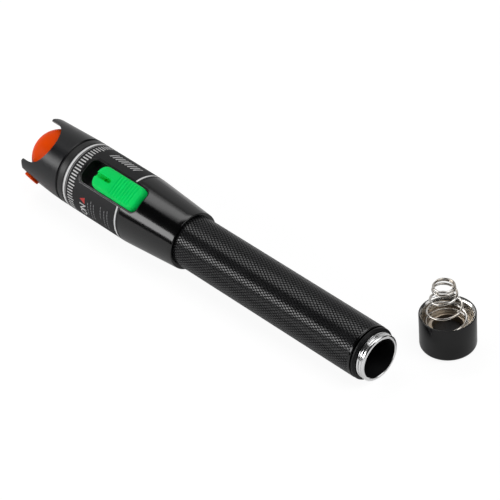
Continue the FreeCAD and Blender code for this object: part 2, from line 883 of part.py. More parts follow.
def coil(wire, base_r, top_r, height, open_turns):
    """A round-wire coil that climbs +Z from zero, with one closed turn at each end.

    It is made of half turns. Each one is an arc tilted to meet the next.
    """
    closed_rise = 0.53 * wire
    open_rise = (height - wire - 4 * closed_rise) / (2 * open_turns)
    rises = [closed_rise] * 2 + [open_rise] * (2 * open_turns) + [closed_rise] * 2
    solid = None
    level = wire / 2
    radius = base_r
    for index, rise in enumerate(rises):
        side = 1 if index % 2 == 0 else -1
        steps = min(max(index - 1, 0), 2 * open_turns)
        next_r = base_r + (top_r - base_r) * steps / (2 * open_turns)
        start = V(side * radius, 0, level)
        end = V(-side * next_r, 0, level + rise)
        middle = (start + end) * 0.5
        along = V(0, side, 0)
        section = Part.Face(Part.Wire([Part.makeCircle(wire / 2, start, along)]))
        arc = section.revolve(middle, (start - middle).cross(along), 180)
        solid = solid.fuse(arc) if solid else arc
        level += rise
        radius = next_r
    return solid.removeSplitter()


def make_front_spring():
    """Short coil spring between the rivet and the board's contact tab."""
    rear = insulator_front + rivet_head
    length = board_rear - tab_thickness - rear
    middle_r = (front_spring_diameter - front_spring_wire) / 2
    solid = coil(front_spring_wire, middle_r, middle_r, length, front_spring_turns)
    solid.rotate(V(0, 0, 0), V(0, 1, 0), -90)
    solid.translate(at(rear))
    return solid


def make_contact_tab():
    """Bent tab on the board's end that the front spring presses on."""
    plate = block(board_rear - tab_thickness, board_rear, tab_width,
                  -front_spring_diameter / 2, board_top + tab_thickness)
    foot = block(board_rear, board_rear + tab_foot, tab_width, board_top,
                 board_top + tab_thickness)
    return plate.fuse(foot).removeSplitter()


def cap_profile(points):
    """A solid of revolution about +Z, from (radius, height) corners."""
    corners = [V(radius, 0, height) for radius, height in points]
    face = Part.Face(Part.makePolygon(corners + corners[:1]))
    return face.revolve(V(0, 0, 0), V(0, 0, 1), 360)


def make_tail_cap():
    """Cap standing mouth up: threaded wall, bare step for the spring and a bore for the plug."""
    thread_r = cap_thread_r
    plug_r = cap_plug_bore / 2
    step = cap_height - cap_thread_depth
    plug_seat = step - cap_plug_depth
    cap = cap_profile([
        (0, 0), (cap_r, 0), (cap_r, cap_height - cap_mouth_edge),
        (cap_r - cap_mouth_edge, cap_height), (thread_r + cap_lead_in, cap_height),
        (thread_r, cap_height - cap_lead_in), (thread_r, step), (plug_r, step),
        (plug_r, plug_seat),
        (0, plug_seat)])
    bottom = [e for e in cap.Edges if e.Closed and abs(e.CenterOfMass.z) < 1e-6
              and abs(e.BoundBox.XMax - cap_r) < 0.01]
    return cap.makeFillet(cap_corner, bottom)


def make_cap_plug():
    """Black plug that fills the cap's inner bore almost to the step."""
    low = cap_height - cap_thread_depth - cap_plug_depth
    high = cap_height - cap_thread_depth - cap_plug_setback
    return Part.makeCylinder(cap_plug_bore / 2 - seat_gap, high - low, V(0, 0, low))


def make_cap_spring():
    """Conical contact spring, its wide end down on the cap's step."""
    base_r = (spring_base_diameter - spring_wire) / 2
    top_r = (spring_top_diameter - spring_wire) / 2
    solid = coil(spring_wire, base_r, top_r, spring_height, spring_open_turns)
    solid.translate(V(0, 0, cap_height - cap_thread_depth))
    return solid


def lay_down(shape):
    """Turn a pen piece about its axis and lay it on the floor."""
    shape = shape.copy()
    shape.rotate(V(0, 0, 0), V(1, 0, 0), switch_turn)
    shape.rotate(V(0, 0, 0), V(0, 1, 0), pen_tilt)
    shape.translate(V(0, 0, axis_height))
    return shape


def set_aside(shape):
    """Stand a piece of the tail cap beside the tube's rear edge."""
    shape = shape.copy()
    shape.translate(V(cap_forward, cap_aside, 0))
    return shape


def build():
    """Every piece by name, in its place, with the origin under the middle of the whole."""
    pen = {
        "battery_tube": make_battery_tube(),
        "tail_o_ring": make_tail_o_ring(),
        "head_sleeve": make_head_sleeve(),
        "label_wrap": make_label_wrap(),
        "seam_ring": make_seam_ring(),
        "nose_shell": make_nose_shell(),
        "dust_cap": make_dust_cap(),
        "cap_strap": make_cap_strap(),
        "strap_stud": make_strap_stud(),
        "port_nozzle": make_port_nozzle(),
        "ferrule_sleeve": make_ferrule_sleeve(),
        "port_nut": make_port_nut(),
        "laser_barrel": make_laser_barrel(),
        "laser_diode": make_laser_diode(),
        "lens": make_lens(),
        "lens_ring": make_lens_ring(),
        "switch_tray": make_switch_tray(),
        "switch_button": make_switch_button(),
        "switch_slider": make_switch_slider(),
        "switch_knob": make_switch_knob(),
        "slide_switch": make_slide_switch(),
        "driver_board": make_driver_board(),
        "driver_chip": make_driver_chip(),
        "filter_capacitor": make_filter_capacitor(),
        "board_carrier": make_board_carrier(),
        "contact_insulator": make_contact_insulator(),
        "contact_plate": make_contact_plate(),
        "contact_rivet": make_contact_rivet(),
        "front_spring": make_front_spring(),
        "contact_tab": make_contact_tab(),
    }
    cap = {
        "tail_cap": make_tail_cap(),
        "cap_plug": make_cap_plug(),
        "cap_spring": make_cap_spring(),
    }
    placed = {name: lay_down(shape) for name, shape in pen.items()}
    placed.update({name: set_aside(shape) for name, shape in cap.items()})
    box = Part.makeCompound(list(placed.values())).optimalBoundingBox(False, False)
    centre = V(-(box.XMin + box.XMax) / 2, -(box.YMin + box.YMax) / 2, -box.ZMin)
    for shape in placed.values():
        shape.translate(centre)
    return placed, centre


def main():
    os.makedirs("parts", exist_ok=True)
    pieces, _ = build()
    for name, shape in pieces.items():
        shape.exportStep("parts/" + name + ".step")
        state = "valid" if shape.isValid() else "INVALID"
        print(name, state, len(shape.Solids), round(shape.Volume, 2))


main()
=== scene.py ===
import json
import math

import bmesh
import bpy
from mathutils import Matrix, Vector


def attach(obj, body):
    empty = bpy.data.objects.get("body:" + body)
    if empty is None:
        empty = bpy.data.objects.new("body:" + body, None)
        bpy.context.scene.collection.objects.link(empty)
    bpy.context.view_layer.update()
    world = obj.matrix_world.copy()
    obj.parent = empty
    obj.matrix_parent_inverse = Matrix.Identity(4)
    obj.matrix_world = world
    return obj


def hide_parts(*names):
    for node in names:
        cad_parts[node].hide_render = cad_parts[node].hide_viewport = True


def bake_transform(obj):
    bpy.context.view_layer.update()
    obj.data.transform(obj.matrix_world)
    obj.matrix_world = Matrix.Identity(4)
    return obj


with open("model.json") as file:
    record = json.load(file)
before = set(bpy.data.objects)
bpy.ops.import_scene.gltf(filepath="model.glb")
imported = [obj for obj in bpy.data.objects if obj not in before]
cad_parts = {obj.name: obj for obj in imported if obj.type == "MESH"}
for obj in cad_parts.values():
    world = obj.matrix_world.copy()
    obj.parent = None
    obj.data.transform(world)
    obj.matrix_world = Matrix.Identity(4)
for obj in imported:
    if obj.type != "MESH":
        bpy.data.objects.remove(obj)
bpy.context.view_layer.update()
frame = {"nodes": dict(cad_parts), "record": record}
nodes = frame["nodes"]
mounts = {m["name"]: m for m in frame["record"]["mounts"]}
scene = bpy.context.scene
MM = 0.001


# The pen's own frame. A station is a distance along the pen in millimetres, from the tail end of
# the tube's full diameter towards the nose. An angle about the pen is in degrees, from straight
# up towards the camera's side.

THREAD_END, BORE_END = -5.0, 97.8
SWITCH_TURN = 30.0

bore = mounts["battery_bore"]
to_tail = Vector(bore["axis"]).normalized()
pen_origin = Vector(bore["pos_m"]) + to_tail * ((THREAD_END + BORE_END) / 2 * MM)
pen_tilt = math.asin(-to_tail.z)
pen_matrix = Matrix.Translation(pen_origin) @ Matrix.Rotation(pen_tilt, 4, "Y")
switch_matrix = pen_matrix @ Matrix.Rotation(math.radians(SWITCH_TURN), 4, "X")
cap_matrix = Matrix.Translation(Vector(mounts["cap_foot"]["pos_m"]))

# The way to the photo's camera and the camera's left, both in plan
to_camera = Vector((0.75760, -0.65272, 0.0)).normalized()
camera_left = Vector((to_camera.y, -to_camera.x, 0.0))


def pen_point(station, radius, angle):
    """A point of the pen in its own frame."""
    a = math.radians(angle)
    return Vector((-station, -radius * math.sin(a), radius * math.cos(a))) * MM


def upright_point(height, radius, angle):
    """A point about an upright axis, in millimetres and degrees."""
    a = math.radians(angle)
    return Vector((radius * math.cos(a), radius * math.sin(a), height)) * MM


# Meshes

def new_piece(name, bm, matrix, material=None, smooth=True):
    """A mesh object from bm, moved by matrix."""
    bm.transform(matrix)
    bmesh.ops.recalc_face_normals(bm, faces=bm.faces)
    mesh = bpy.data.meshes.new(name)
    bm.to_mesh(mesh)
    bm.free()
    for face in mesh.polygons:
        face.use_smooth = smooth
    if material:
        mesh.materials.append(material)
    obj = bpy.data.objects.new(name, mesh)
    scene.collection.objects.link(obj)
    return obj


def join_rows(bm, a, b, closed=True):
    """Faces between two rows of vertices, on to the first ones if closed."""
    for k in range(len(a) if closed else len(a) - 1):
        n = (k + 1) % len(a)
        bm.faces.new((a[k], a[n], b[n], b[k]))


def lathe(bm, profile, segments, wave=None, closed=False, place=pen_point):
    """Turn (station, radius) corners about an axis and return the rings of vertices.

    wave changes a radius by station and angle, for a thread. closed joins the last ring to the
    first. place puts a corner in space, on the pen or about an upright axis.
    """
    rings = []
    for level, radius in profile:
        ring = []
        for k in range(segments):
            angle = 360.0 * k / segments
            r = wave(level, radius, angle) if wave else radius
            ring.append(bm.verts.new(place(level, r, angle)))
        rings.append(ring)
    for a, b in zip(rings, rings[1:] + rings[:1] if closed else rings[1:]):
        join_rows(bm, a, b)
    return rings


def arc(centre, radius, start, end, steps):
    """Points of an arc in a profile's plane, from one angle to another in degrees."""
    angles = [math.radians(start + (end - start) * k / steps) for k in range(steps + 1)]
    return [(centre[0] + radius * math.cos(a), centre[1] + radius * math.sin(a)) for a in angles]


def sharpen(obj, angle=32.0):
    """Smooth shading that stays crisp over edges above an angle."""
    for face in obj.data.polygons:
        face.use_smooth = True
    obj.data.set_sharp_from_angle(angle=math.radians(angle))


def carve(obj, cutters):
    """Cut solids out of a piece and delete them."""
    for cutter in cutters:
        modifier = obj.modifiers.new("carve", "BOOLEAN")
        modifier.object = cutter
        modifier.operation = "DIFFERENCE"
        modifier.solver = "EXACT"
    graph = bpy.context.evaluated_depsgraph_get()
    carved = bpy.data.meshes.new_from_object(obj.evaluated_get(graph))
    obj.modifiers.clear()
    obj.data = carved
    for cutter in cutters:
        bpy.data.objects.remove(cutter)


def stand_for(obj, node, body="pen"):
    """A piece that takes a CAD node's place and joins a body."""
    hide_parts(node)
    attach(obj, body)


# Building of node trees

class Nodes:
    """Short names for building a node tree."""

    def __init__(self, tree):
        self.tree = tree
        self.tree.nodes.clear()

    def add(self, kind, **values):
        node = self.tree.nodes.new(kind)
        for key, value in values.items():
            setattr(node, key, value)
        return node

    def link(self, a, b):
        self.tree.links.new(a, b)

    def feed(self, socket, value):
        """Link a socket or set a plain value."""
        if isinstance(value, bpy.types.NodeSocket):
            self.link(value, socket)
        elif socket.type == "RGBA" and len(value) == 3:
            socket.default_value = (*value, 1.0)
        else:
            socket.default_value = value

    def math(self, operation, a, b=0.0, c=0.0):
        node = self.add("ShaderNodeMath", operation=operation)
        for socket, value in zip(node.inputs, (a, b, c)):
            self.feed(socket, value)
        return node.outputs[0]

    def ramp(self, value, low, high, a=0.0, b=1.0):
        """Map value from low..high to a..b, clamped."""
        node = self.add("ShaderNodeMapRange")
        self.link(value, node.inputs["Value"])
        for key, number in (("From Min", low), ("From Max", high), ("To Min", a), ("To Max", b)):
            node.inputs[key].default_value = number
        return node.outputs["Result"]

    def blend(self, factor, a, b):
        """Mix two colours."""
        node = self.add("ShaderNodeMix", data_type="RGBA")
        for socket, value in ((node.inputs["Factor"], factor), (node.inputs[6], a),
                              (node.inputs[7], b)):
            self.feed(socket, value)
        return node.outputs[2]

    def split(self, vector):
        """The x, y and z of a vector."""
        node = self.add("ShaderNodeSeparateXYZ")
        self.link(vector, node.inputs[0])
        return node.outputs


class Shader(Nodes):
    """A material with one Principled surface, shaded by the place in the object's frame."""

    def __init__(self, name):
        self.material = bpy.data.materials.new(name)
        self.material.use_nodes = True
        super().__init__(self.material.node_tree)
        self.out = self.add("ShaderNodeOutputMaterial")
        self.surface = self.add("ShaderNodeBsdfPrincipled")
        self.link(self.surface.outputs[0], self.out.inputs["Surface"])
        self.place = self.add("ShaderNodeTexCoord").outputs["Object"]

    def noise(self, scale, detail=3.0):
        node = self.add("ShaderNodeTexNoise")
        self.link(self.place, node.inputs["Vector"])
        node.inputs["Scale"].default_value = scale
        node.inputs["Detail"].default_value = detail
        node.inputs["Roughness"].default_value = 0.55
        return node.outputs["Fac"]

    def bump(self, height, strength, distance):
        node = self.add("ShaderNodeBump")
        self.link(height, node.inputs["Height"])
        node.inputs["Strength"].default_value = strength
        node.inputs["Distance"].default_value = distance
        self.link(node.outputs["Normal"], self.surface.inputs["Normal"])

    def put(self, **values):
        """Set inputs of the surface, with _ for a space in a socket's name."""
        for key, value in values.items():
            self.feed(self.surface.inputs[key.replace("_", " ")], value)

    def station(self):
        """The station along the pen of the place being shaded."""
        node = self.add("ShaderNodeMapping", vector_type="TEXTURE")
        self.link(self.place, node.inputs["Vector"])
        node.inputs["Location"].default_value = pen_origin
        node.inputs["Rotation"].default_value = (0.0, pen_tilt, 0.0)
        return self.math("MULTIPLY", self.split(node.outputs[0])[0], -1.0 / MM)

    def band(self, value, low, high, soft):
        """1 between low and high, with soft edges."""
        rise = self.ramp(value, low - soft, low + soft)
        fall = self.ramp(value, high - soft, high + soft, 1.0, 0.0)
        return self.math("MULTIPLY", rise, fall)


# Materials. A noise's scale is in waves to a metre, and NOISE_CORE is where most of its values
# lie. GRAIN and SKIN are the bumps' depths. The label's lines are given by their stations.

NOISE_CORE = (0.3, 0.7)
GRAIN, SKIN = 0.02 * MM, 0.03 * MM
REAR_LINE, FRONT_LINE, THIN_LINE = (115.7, 116.5), (144.1, 145.1), (143.5, 143.72)


def scaled(colour, factor):
    """A colour made lighter or darker."""
    return tuple(c * factor for c in colour)


def make_black_anodised(name, colour, rough, grain, matte_from=None, shine=0.5):
    """Black anodised aluminium with a fine grain, matte beyond a station if asked."""
    s = Shader(name)
    fine = s.noise(2600.0, 2.0)
    broad = s.noise(90.0)
    dull = s.ramp(s.math("ADD", fine, broad), 0.7, 1.3, rough * 0.9, rough * 1.15)
    if matte_from is not None:
        matte = s.ramp(s.station(), matte_from - 0.2, matte_from, 0.0, 0.3)
        dull = s.math("ADD", dull, matte)
    s.put(Base_Color=s.blend(s.ramp(broad, *NOISE_CORE), colour, scaled(colour, 1.35)),
          Roughness=dull, IOR=1.52, Specular_IOR_Level=shine)
    s.bump(fine, grain, GRAIN)
    return s.material


def make_metal(name, colour, rough, turned=0.0, grain=0.2):
    """Bare metal with slight tarnish, and ring-shaped tool marks if it is turned."""
    s = Shader(name)
    cloud = s.noise(220.0)
    height = s.noise(3000.0, 2.0)
    s.put(Base_Color=s.blend(s.ramp(cloud, 0.35, 0.75), colour, scaled(colour, 0.88)),
          Metallic=1.0, Roughness=s.ramp(cloud, *NOISE_CORE, rough * 0.85, rough * 1.2))
    if turned:
        rings = s.add("ShaderNodeTexNoise", noise_dimensions="1D")
        s.link(s.station(), rings.inputs["W"])
        rings.inputs["Scale"].default_value = 14.0
        rings.inputs["Detail"].default_value = 2.0
        height = s.math("MULTIPLY_ADD", rings.outputs["Fac"], turned, height)
    s.bump(height, grain, SKIN)
    return s.material


def make_rubber(name, colour, rough, soft=0.0, shine=0.5):
    """Moulded rubber or silicone with a fine skin."""
    s = Shader(name)
    fine = s.noise(1500.0)
    broad = s.noise(120.0, 2.0)
    s.put(Base_Color=s.blend(s.ramp(broad, *NOISE_CORE), colour, scaled(colour, 0.88)),
          Roughness=s.ramp(fine, *NOISE_CORE, rough * 0.9, rough * 1.1),
          IOR=1.43, Specular_IOR_Level=shine)
    if soft:
        s.put(Subsurface_Weight=soft, Subsurface_Radius=(0.9, 0.35, 0.12),
              Subsurface_Scale=1.5 * MM)
    s.bump(fine, 0.2, SKIN)
    return s.material


def make_plastic(name, colour, rough, soft=0.0, shine=0.5):
    """Injection-moulded plastic with a faint texture."""
    s = Shader(name)
    fine = s.noise(1900.0, 2.0)
    broad = s.noise(150.0)
    s.put(Base_Color=s.blend(s.ramp(broad, 0.35, 0.7), colour, scaled(colour, 0.9)),
          Roughness=s.ramp(fine, *NOISE_CORE, rough * 0.88, rough * 1.12),
          IOR=1.49, Specular_IOR_Level=shine)
    if soft:
        s.put(Subsurface_Weight=soft, Subsurface_Radius=(0.3, 0.8, 0.3),
              Subsurface_Scale=1.0 * MM)
    s.bump(fine, 0.15, SKIN)
    return s.material


def make_label():
    """Matte dark film with a white ring line at each end and a thin one inside the front line."""
    s = Shader("label_film")
    station = s.station()
    fine = s.noise(2400.0, 2.0)
    broad = s.noise(70.0)
    ground = s.blend(s.ramp(broad, *NOISE_CORE), (0.009, 0.009, 0.0102), (0.012, 0.012, 0.0132))
    rear = s.band(station, *REAR_LINE, 0.06)
    front = s.band(station, *FRONT_LINE, 0.05)
    thin = s.math("MULTIPLY", s.band(station, *THIN_LINE, 0.04), 0.45)
    line = s.math("MAXIMUM", s.math("MAXIMUM", rear, front), thin)
    worn = s.math("MULTIPLY", line, s.ramp(fine, 0.25, 0.5, 0.85, 1.0))
    s.put(Base_Color=s.blend(worn, ground, (0.88, 0.88, 0.88)),
          Roughness=s.ramp(fine, *NOISE_CORE, 0.58, 0.68), IOR=1.45, Specular_IOR_Level=0.4)
    s.bump(fine, 0.15, SKIN)
    return s.material


def make_print(name, colour):
    """Printed ink, slightly uneven. The grey ink also paints a highlight line."""
    s = Shader(name)
    fine = s.noise(2200.0)
    s.put(Base_Color=s.blend(s.ramp(fine, *NOISE_CORE), colour, scaled(colour, 0.85)),
          Roughness=0.5)
    s.bump(fine, 0.1, GRAIN)
    return s.material


def make_spring_steel():
    """Bright drawn wire with warm tarnish in places."""
    s = Shader("spring_steel")
    cloud = s.noise(260.0)
    fine = s.noise(2800.0)
    s.put(Base_Color=s.blend(s.ramp(cloud, 0.4, 0.75), (0.76, 0.74, 0.71), (0.5, 0.43, 0.35)),
          Metallic=1.0, Roughness=s.ramp(cloud, *NOISE_CORE, 0.08, 0.16))
    s.bump(fine, 0.15, GRAIN)
    return s.material


def make_cap_metal():
    """The cap's bare inside: bright at the thread, warm and dull on the step below it."""
    s = Shader("cap_metal")
    cloud = s.noise(300.0)
    fine = s.noise(2600.0, 2.0)
    height = s.math("MULTIPLY_ADD", cloud, 0.8 * MM, s.split(s.place)[2])
    upper = s.ramp(height, 8.8 * MM, 10.0 * MM)
    warm = s.blend(s.ramp(cloud, 0.35, 0.7), (0.62, 0.5, 0.36), (0.5, 0.39, 0.27))
    s.put(Base_Color=s.blend(upper, warm, (0.7, 0.69, 0.67)), Metallic=1.0,
          Roughness=s.ramp(upper, 0.0, 1.0, 0.38, 0.2))
    s.bump(fine, 0.2, SKIN)
    return s.material


def make_plug():
    """Black plug with a woven, hatched skin."""
    s = Shader("plug_black")
    x, y, _ = s.split(s.place)
    waves = [s.math("SINE", s.math("MULTIPLY", s.math(way, x, y), 7000.0))
             for way in ("ADD", "SUBTRACT")]
    weave = s.ramp(s.math("MAXIMUM", *waves), -0.2, 0.9)
    s.put(Base_Color=s.blend(weave, (0.004, 0.004, 0.0045), (0.02, 0.02, 0.021)), Roughness=0.5)
    s.bump(weave, 0.5, 0.1 * MM)
    return s.material


def make_board():
    """Green solder mask with faint copper tracks under it."""
    s = Shader("circuit_board")
    cells = s.add("ShaderNodeTexVoronoi", distance="MANHATTAN", feature="DISTANCE_TO_EDGE")
    s.link(s.place, cells.inputs["Vector"])
    cells.inputs["Scale"].default_value = 420.0
    track = s.ramp(cells.outputs["Distance"], 0.03, 0.09)
    s.put(Base_Color=s.blend(track, (0.05, 0.32, 0.1), (0.012, 0.14, 0.04)), Roughness=0.35)
    s.bump(track, 0.2, 0.04 * MM)
    return s.material


def make_glass():
    """Clear lens glass with a faint coating."""
    s = Shader("lens_glass")
    s.put(Base_Color=s.blend(s.noise(900.0, 2.0), (0.93, 0.97, 1.0), (0.9, 0.94, 0.99)),
          Roughness=0.02, Transmission_Weight=1.0, IOR=1.52)
    return s.material


gloss_black = make_black_anodised("gloss_black", (0.0016, 0.0016, 0.0018), 0.13, 0.1,
                                  matte_from=118.0)
satin_black = make_black_anodised("satin_black", (0.0022, 0.0025, 0.0038), 0.32, 0.2, shine=0.4)
knurl_black = make_black_anodised("knurl_black", (0.0135, 0.0135, 0.0145), 0.2, 0.1)
bore_black = make_black_anodised("bore_black", (0.004, 0.004, 0.0045), 0.5, 0.1)
cap_black = make_black_anodised("cap_black", (0.0018, 0.0018, 0.002), 0.2, 0.12, shine=0.36)
bright_metal = make_metal("bright_metal", (0.94, 0.94, 0.94), 0.17, grain=0.05)
nickel = make_metal("nickel", (0.75, 0.73, 0.69), 0.2, turned=0.4)
brass = make_metal("brass", (0.83, 0.62, 0.3), 0.24, turned=0.4)
tin = make_metal("tin", (0.8, 0.8, 0.8), 0.3)
black_rubber = make_rubber("black_rubber", (0.005, 0.005, 0.0055), 0.42, shine=0.3)
orange_rubber = make_rubber("orange_rubber", (1.0, 0.08, 0.0005), 0.38, 0.12, shine=0.05)
green_plastic = make_plastic("green_plastic", (0.001, 0.88, 0.155), 0.42, 0.1, shine=0.1)
black_plastic = make_plastic("black_plastic", (0.006, 0.006, 0.0065), 0.4)
ceramic = make_plastic("ceramic", (0.85, 0.84, 0.8), 0.2)
label_film = make_label()
white_ink = make_print("white_ink", (0.75, 0.75, 0.75))
# Grey ink prints the fine lines and also paints a highlight line along the film's cut edge.
grey_ink_and_highlight = make_print("grey_ink_and_highlight", (0.25, 0.25, 0.26))
red_ink = make_print("red_ink", (0.65, 0.03, 0.025))
spring_steel = make_spring_steel()
cap_metal = make_cap_metal()
plug_black = make_plug()
board_green = make_board()
glass = make_glass()

# The CAD solids that are shown as they are
CAD_MATERIALS = {
    "seam_ring": black_rubber, "nose_shell": satin_black, "port_nozzle": nickel,
    "ferrule_sleeve": ceramic, "port_nut": nickel, "laser_barrel": brass, "laser_diode": brass,
    "lens": glass, "lens_ring": brass, "switch_tray": black_plastic, "switch_slider": tin,
    "switch_knob": black_plastic, "slide_switch": black_plastic, "driver_board": board_green,
    "driver_chip": black_plastic, "filter_capacitor": tin, "board_carrier": black_plastic,
    "contact_insulator": black_plastic, "contact_plate": nickel, "contact_rivet": brass,
    "front_spring": spring_steel, "contact_tab": brass, "cap_plug": plug_black,
    "tail_o_ring": black_rubber}
for node, material in CAD_MATERIALS.items():
    mesh = nodes[node].data
    mesh.materials.clear()
    mesh.materials.append(material)


# Knurled tube. The grooves of both hands are counted round the tube and along a millimetre of
# it, and KNURL_FLANK is the share of a diamond that each flank takes.

TUBE_R, BORE_R = 9.99, 7.48
NECK_R, NECK_END = 8.2, -2.2
TAIL_ROUND, KNURL_BEVEL, MOUTH_BEVEL = 0.35, 0.08, 0.14
SPIGOT_START, SPIGOT_R, SPIGOT_TIP_R, SPIGOT_BEVEL = 89.35, 8.98, 8.5, 0.5
KNURL_STARTS, KNURL_RATE, KNURL_FLANK = 55, 0.49, 0.19
KNURL_CROWN, KNURL_DEPTH = 0.005, 0.27
KNURL_FROM, KNURL_TO = 0.9, 88.9
THREAD_R, THREAD_PITCH, THREAD_DEPTH = 8.74, 1.25, 0.17


def knurl_point(u, v, radius):
    """A point of the diamond lattice, whose grooves are the whole numbers of u and v."""
    station = (u - v) / (2 * KNURL_RATE)
    angle = (u + v) * 180.0 / KNURL_STARTS
    return pen_point(station, radius, angle)


def add_knurl(bm):
    """Low-crowned diamonds between two families of grooves, cut square at both ends."""
    crossings = {}

    def crossing(i, j):
        key = (i % KNURL_STARTS, i - j)
        if key not in crossings:
            crossings[key] = bm.verts.new(knurl_point(i, j, TUBE_R - KNURL_DEPTH))
        return crossings[key]

    a, b = KNURL_FLANK, 1 - KNURL_FLANK
    first = math.floor(2 * KNURL_RATE * KNURL_FROM) - 1
    last = math.ceil(2 * KNURL_RATE * KNURL_TO) + 1
    for m in range(first, last + 1):
        for i in range(KNURL_STARTS):
            j = i - m
            top = [bm.verts.new(knurl_point(i + p, j + q, TUBE_R - KNURL_CROWN))
                   for p, q in ((a, a), (b, a), (b, b), (a, b))]
            peak = bm.verts.new(knurl_point(i + 0.5, j + 0.5, TUBE_R))
            foot = [crossing(i, j), crossing(i + 1, j), crossing(i + 1, j + 1), crossing(i, j + 1)]
            for k in range(4):
                n = (k + 1) % 4
                bm.faces.new((top[k], top[n], peak))
                bm.faces.new((foot[k], foot[n], top[n], top[k]))
    for station, side in ((KNURL_FROM, 1), (KNURL_TO, -1)):
        geometry = list(bm.verts) + list(bm.edges) + list(bm.faces)
        bmesh.ops.bisect_plane(bm, geom=geometry, plane_co=Vector((-station * MM, 0, 0)),
                               plane_no=Vector((side, 0, 0)), clear_outer=True)


def thread_wave(start, end, fade, hand, way):
    """Soft thread turns between two levels that fade at both ends.

    hand is 1 or -1 for the turns' direction, way is 1 or -1 for turns cut outwards or inwards.
    """

    def wave(level, radius, angle):
        phase = (level / THREAD_PITCH + hand * angle / 360.0) % 1.0
        depth = THREAD_DEPTH * (0.5 + 0.5 * math.cos(2 * math.pi * phase))
        ease = min(1.0, (level - start) / fade, (end - level) / fade)
        return radius + way * depth * max(0.0, ease)

    return wave


bm = bmesh.new()
add_knurl(bm)
knurl = new_piece("tube_knurl", bm, pen_matrix, knurl_black, smooth=False)
stand_for(knurl, "battery_tube")

bm = bmesh.new()
lathe(bm, [(KNURL_FROM, TUBE_R - KNURL_DEPTH), (KNURL_FROM, TUBE_R - KNURL_BEVEL),
           (KNURL_FROM - KNURL_BEVEL, TUBE_R)]
      + arc((TAIL_ROUND, TUBE_R - TAIL_ROUND), TAIL_ROUND, 90, 180, 6)
      + [(0.0, NECK_R), (NECK_END, NECK_R), (NECK_END, THREAD_R)], 180)
land = new_piece("tube_land", bm, pen_matrix, gloss_black)
sharpen(land)
stand_for(land, "battery_tube")

TURN_STEP, TURN_ROWS = 0.05, 49
turns = [(NECK_END - TURN_STEP * k, THREAD_R) for k in range(TURN_ROWS)]
bm = bmesh.new()
lathe(bm, turns + [(-4.72, 8.6), (-4.92, 8.4), (THREAD_END, 8.25),
                   (THREAD_END, BORE_R + MOUTH_BEVEL), (THREAD_END + MOUTH_BEVEL, BORE_R)],
      220, thread_wave(-4.62, -2.35, 0.5, 1, -1))
thread = new_piece("tube_thread", bm, pen_matrix, bright_metal)
sharpen(thread, 40.0)
stand_for(thread, "battery_tube")

bm = bmesh.new()
lathe(bm, [(THREAD_END + MOUTH_BEVEL, BORE_R), (BORE_END, BORE_R), (BORE_END, SPIGOT_TIP_R),
           (BORE_END - SPIGOT_BEVEL, SPIGOT_R), (SPIGOT_START, SPIGOT_R),
           (SPIGOT_START, TUBE_R)], 160)
tube_inside = new_piece("tube_inside", bm, pen_matrix, bore_black)
sharpen(tube_inside)
stand_for(tube_inside, "battery_tube")


# Head and film. A ring in the film's middle keeps the faces that the window cuts short.

HEAD_REAR, HEAD_FRONT = 88.0, 148.4
HEAD_REAR_R, HEAD_R, TAPER_LENGTH = 11.25, 13.25, 26.2
SHOULDER = [(112.6, 13.125), (113.4, 13.184), (114.2, 13.228), (114.55, HEAD_R)]
REAR_ROUND, FRONT_ROUND = 0.35, 0.3
MOUTH_R, SOCKET_START, SOCKET_R = 10.05, 89.4, 9.05
CAVITY_START, CAVITY_R, JOINT_START, JOINT_R = 98.2, 10.6, 143.4, 11.85
HEAD_SEGMENTS = 288
FILM_REAR, FILM_MIDDLE, FILM_FRONT = 114.6, 130.0, 145.9
FILM_SEAT_R, FILM_INNER_R, FILM_GAP, FILM_BEVEL = 13.15, 13.14, 0.02, 0.03
WINDOW_REAR, WINDOW_FRONT, WINDOW_WIDTH, WINDOW_CORNER = 107.5, 138.7, 11.2, 3.0
FILM_MARGIN, FILM_CUT_WIDTH, FILM_CUT_CORNER = 0.2, 11.32, 1.6
CUT_LOW, CUT_HIGH = 0.5, 20.0


def taper_radius(station):
    """The head's radius on its taper."""
    return HEAD_REAR_R + (HEAD_R - HEAD_REAR_R) * (station - HEAD_REAR) / TAPER_LENGTH


def rounded_outline(rear, front, width, corner):
    """Corner points of a rounded oblong in plan, as (station, side)."""
    side = width / 2 - corner
    out = []
    for station, y, start in ((front - corner, side, 0), (rear + corner, side, 90),
                              (rear + corner, -side, 180), (front - corner, -side, 270)):
        out += arc((station, y), corner, start, start + 90, 10)
    return out


def cutter(outline, low, high=CUT_HIGH):
    """A prism over an outline in the switch's frame, to carve with."""
    bm = bmesh.new()
    bottom = [bm.verts.new(Vector((-s, y, low)) * MM) for s, y in outline]
    top = [bm.verts.new(Vector((-s, y, high)) * MM) for s, y in outline]
    bm.faces.new(bottom)
    bm.faces.new(list(reversed(top)))
    join_rows(bm, bottom, top)
    return new_piece("cutter", bm, switch_matrix, smooth=False)


profile = [(HEAD_REAR, MOUTH_R)]
profile += arc((HEAD_REAR + REAR_ROUND, HEAD_REAR_R - REAR_ROUND), REAR_ROUND, 180, 94, 6)
profile += [(station, taper_radius(station)) for station in (90.0, 100.0)] + SHOULDER
profile += [(FILM_REAR, HEAD_R), (FILM_REAR, FILM_SEAT_R), (FILM_MIDDLE, FILM_SEAT_R),
            (FILM_FRONT, FILM_SEAT_R), (FILM_FRONT, HEAD_R)]
profile += arc((HEAD_FRONT - FRONT_ROUND, HEAD_R - FRONT_ROUND), FRONT_ROUND, 90, 0, 5)
profile += [(HEAD_FRONT, JOINT_R), (JOINT_START, JOINT_R), (JOINT_START, CAVITY_R),
            (CAVITY_START, CAVITY_R), (CAVITY_START, SOCKET_R), (SOCKET_START, SOCKET_R),
            (SOCKET_START, MOUTH_R)]
bm = bmesh.new()
lathe(bm, profile, HEAD_SEGMENTS, closed=True)
head = new_piece("head_shell", bm, pen_matrix, gloss_black)
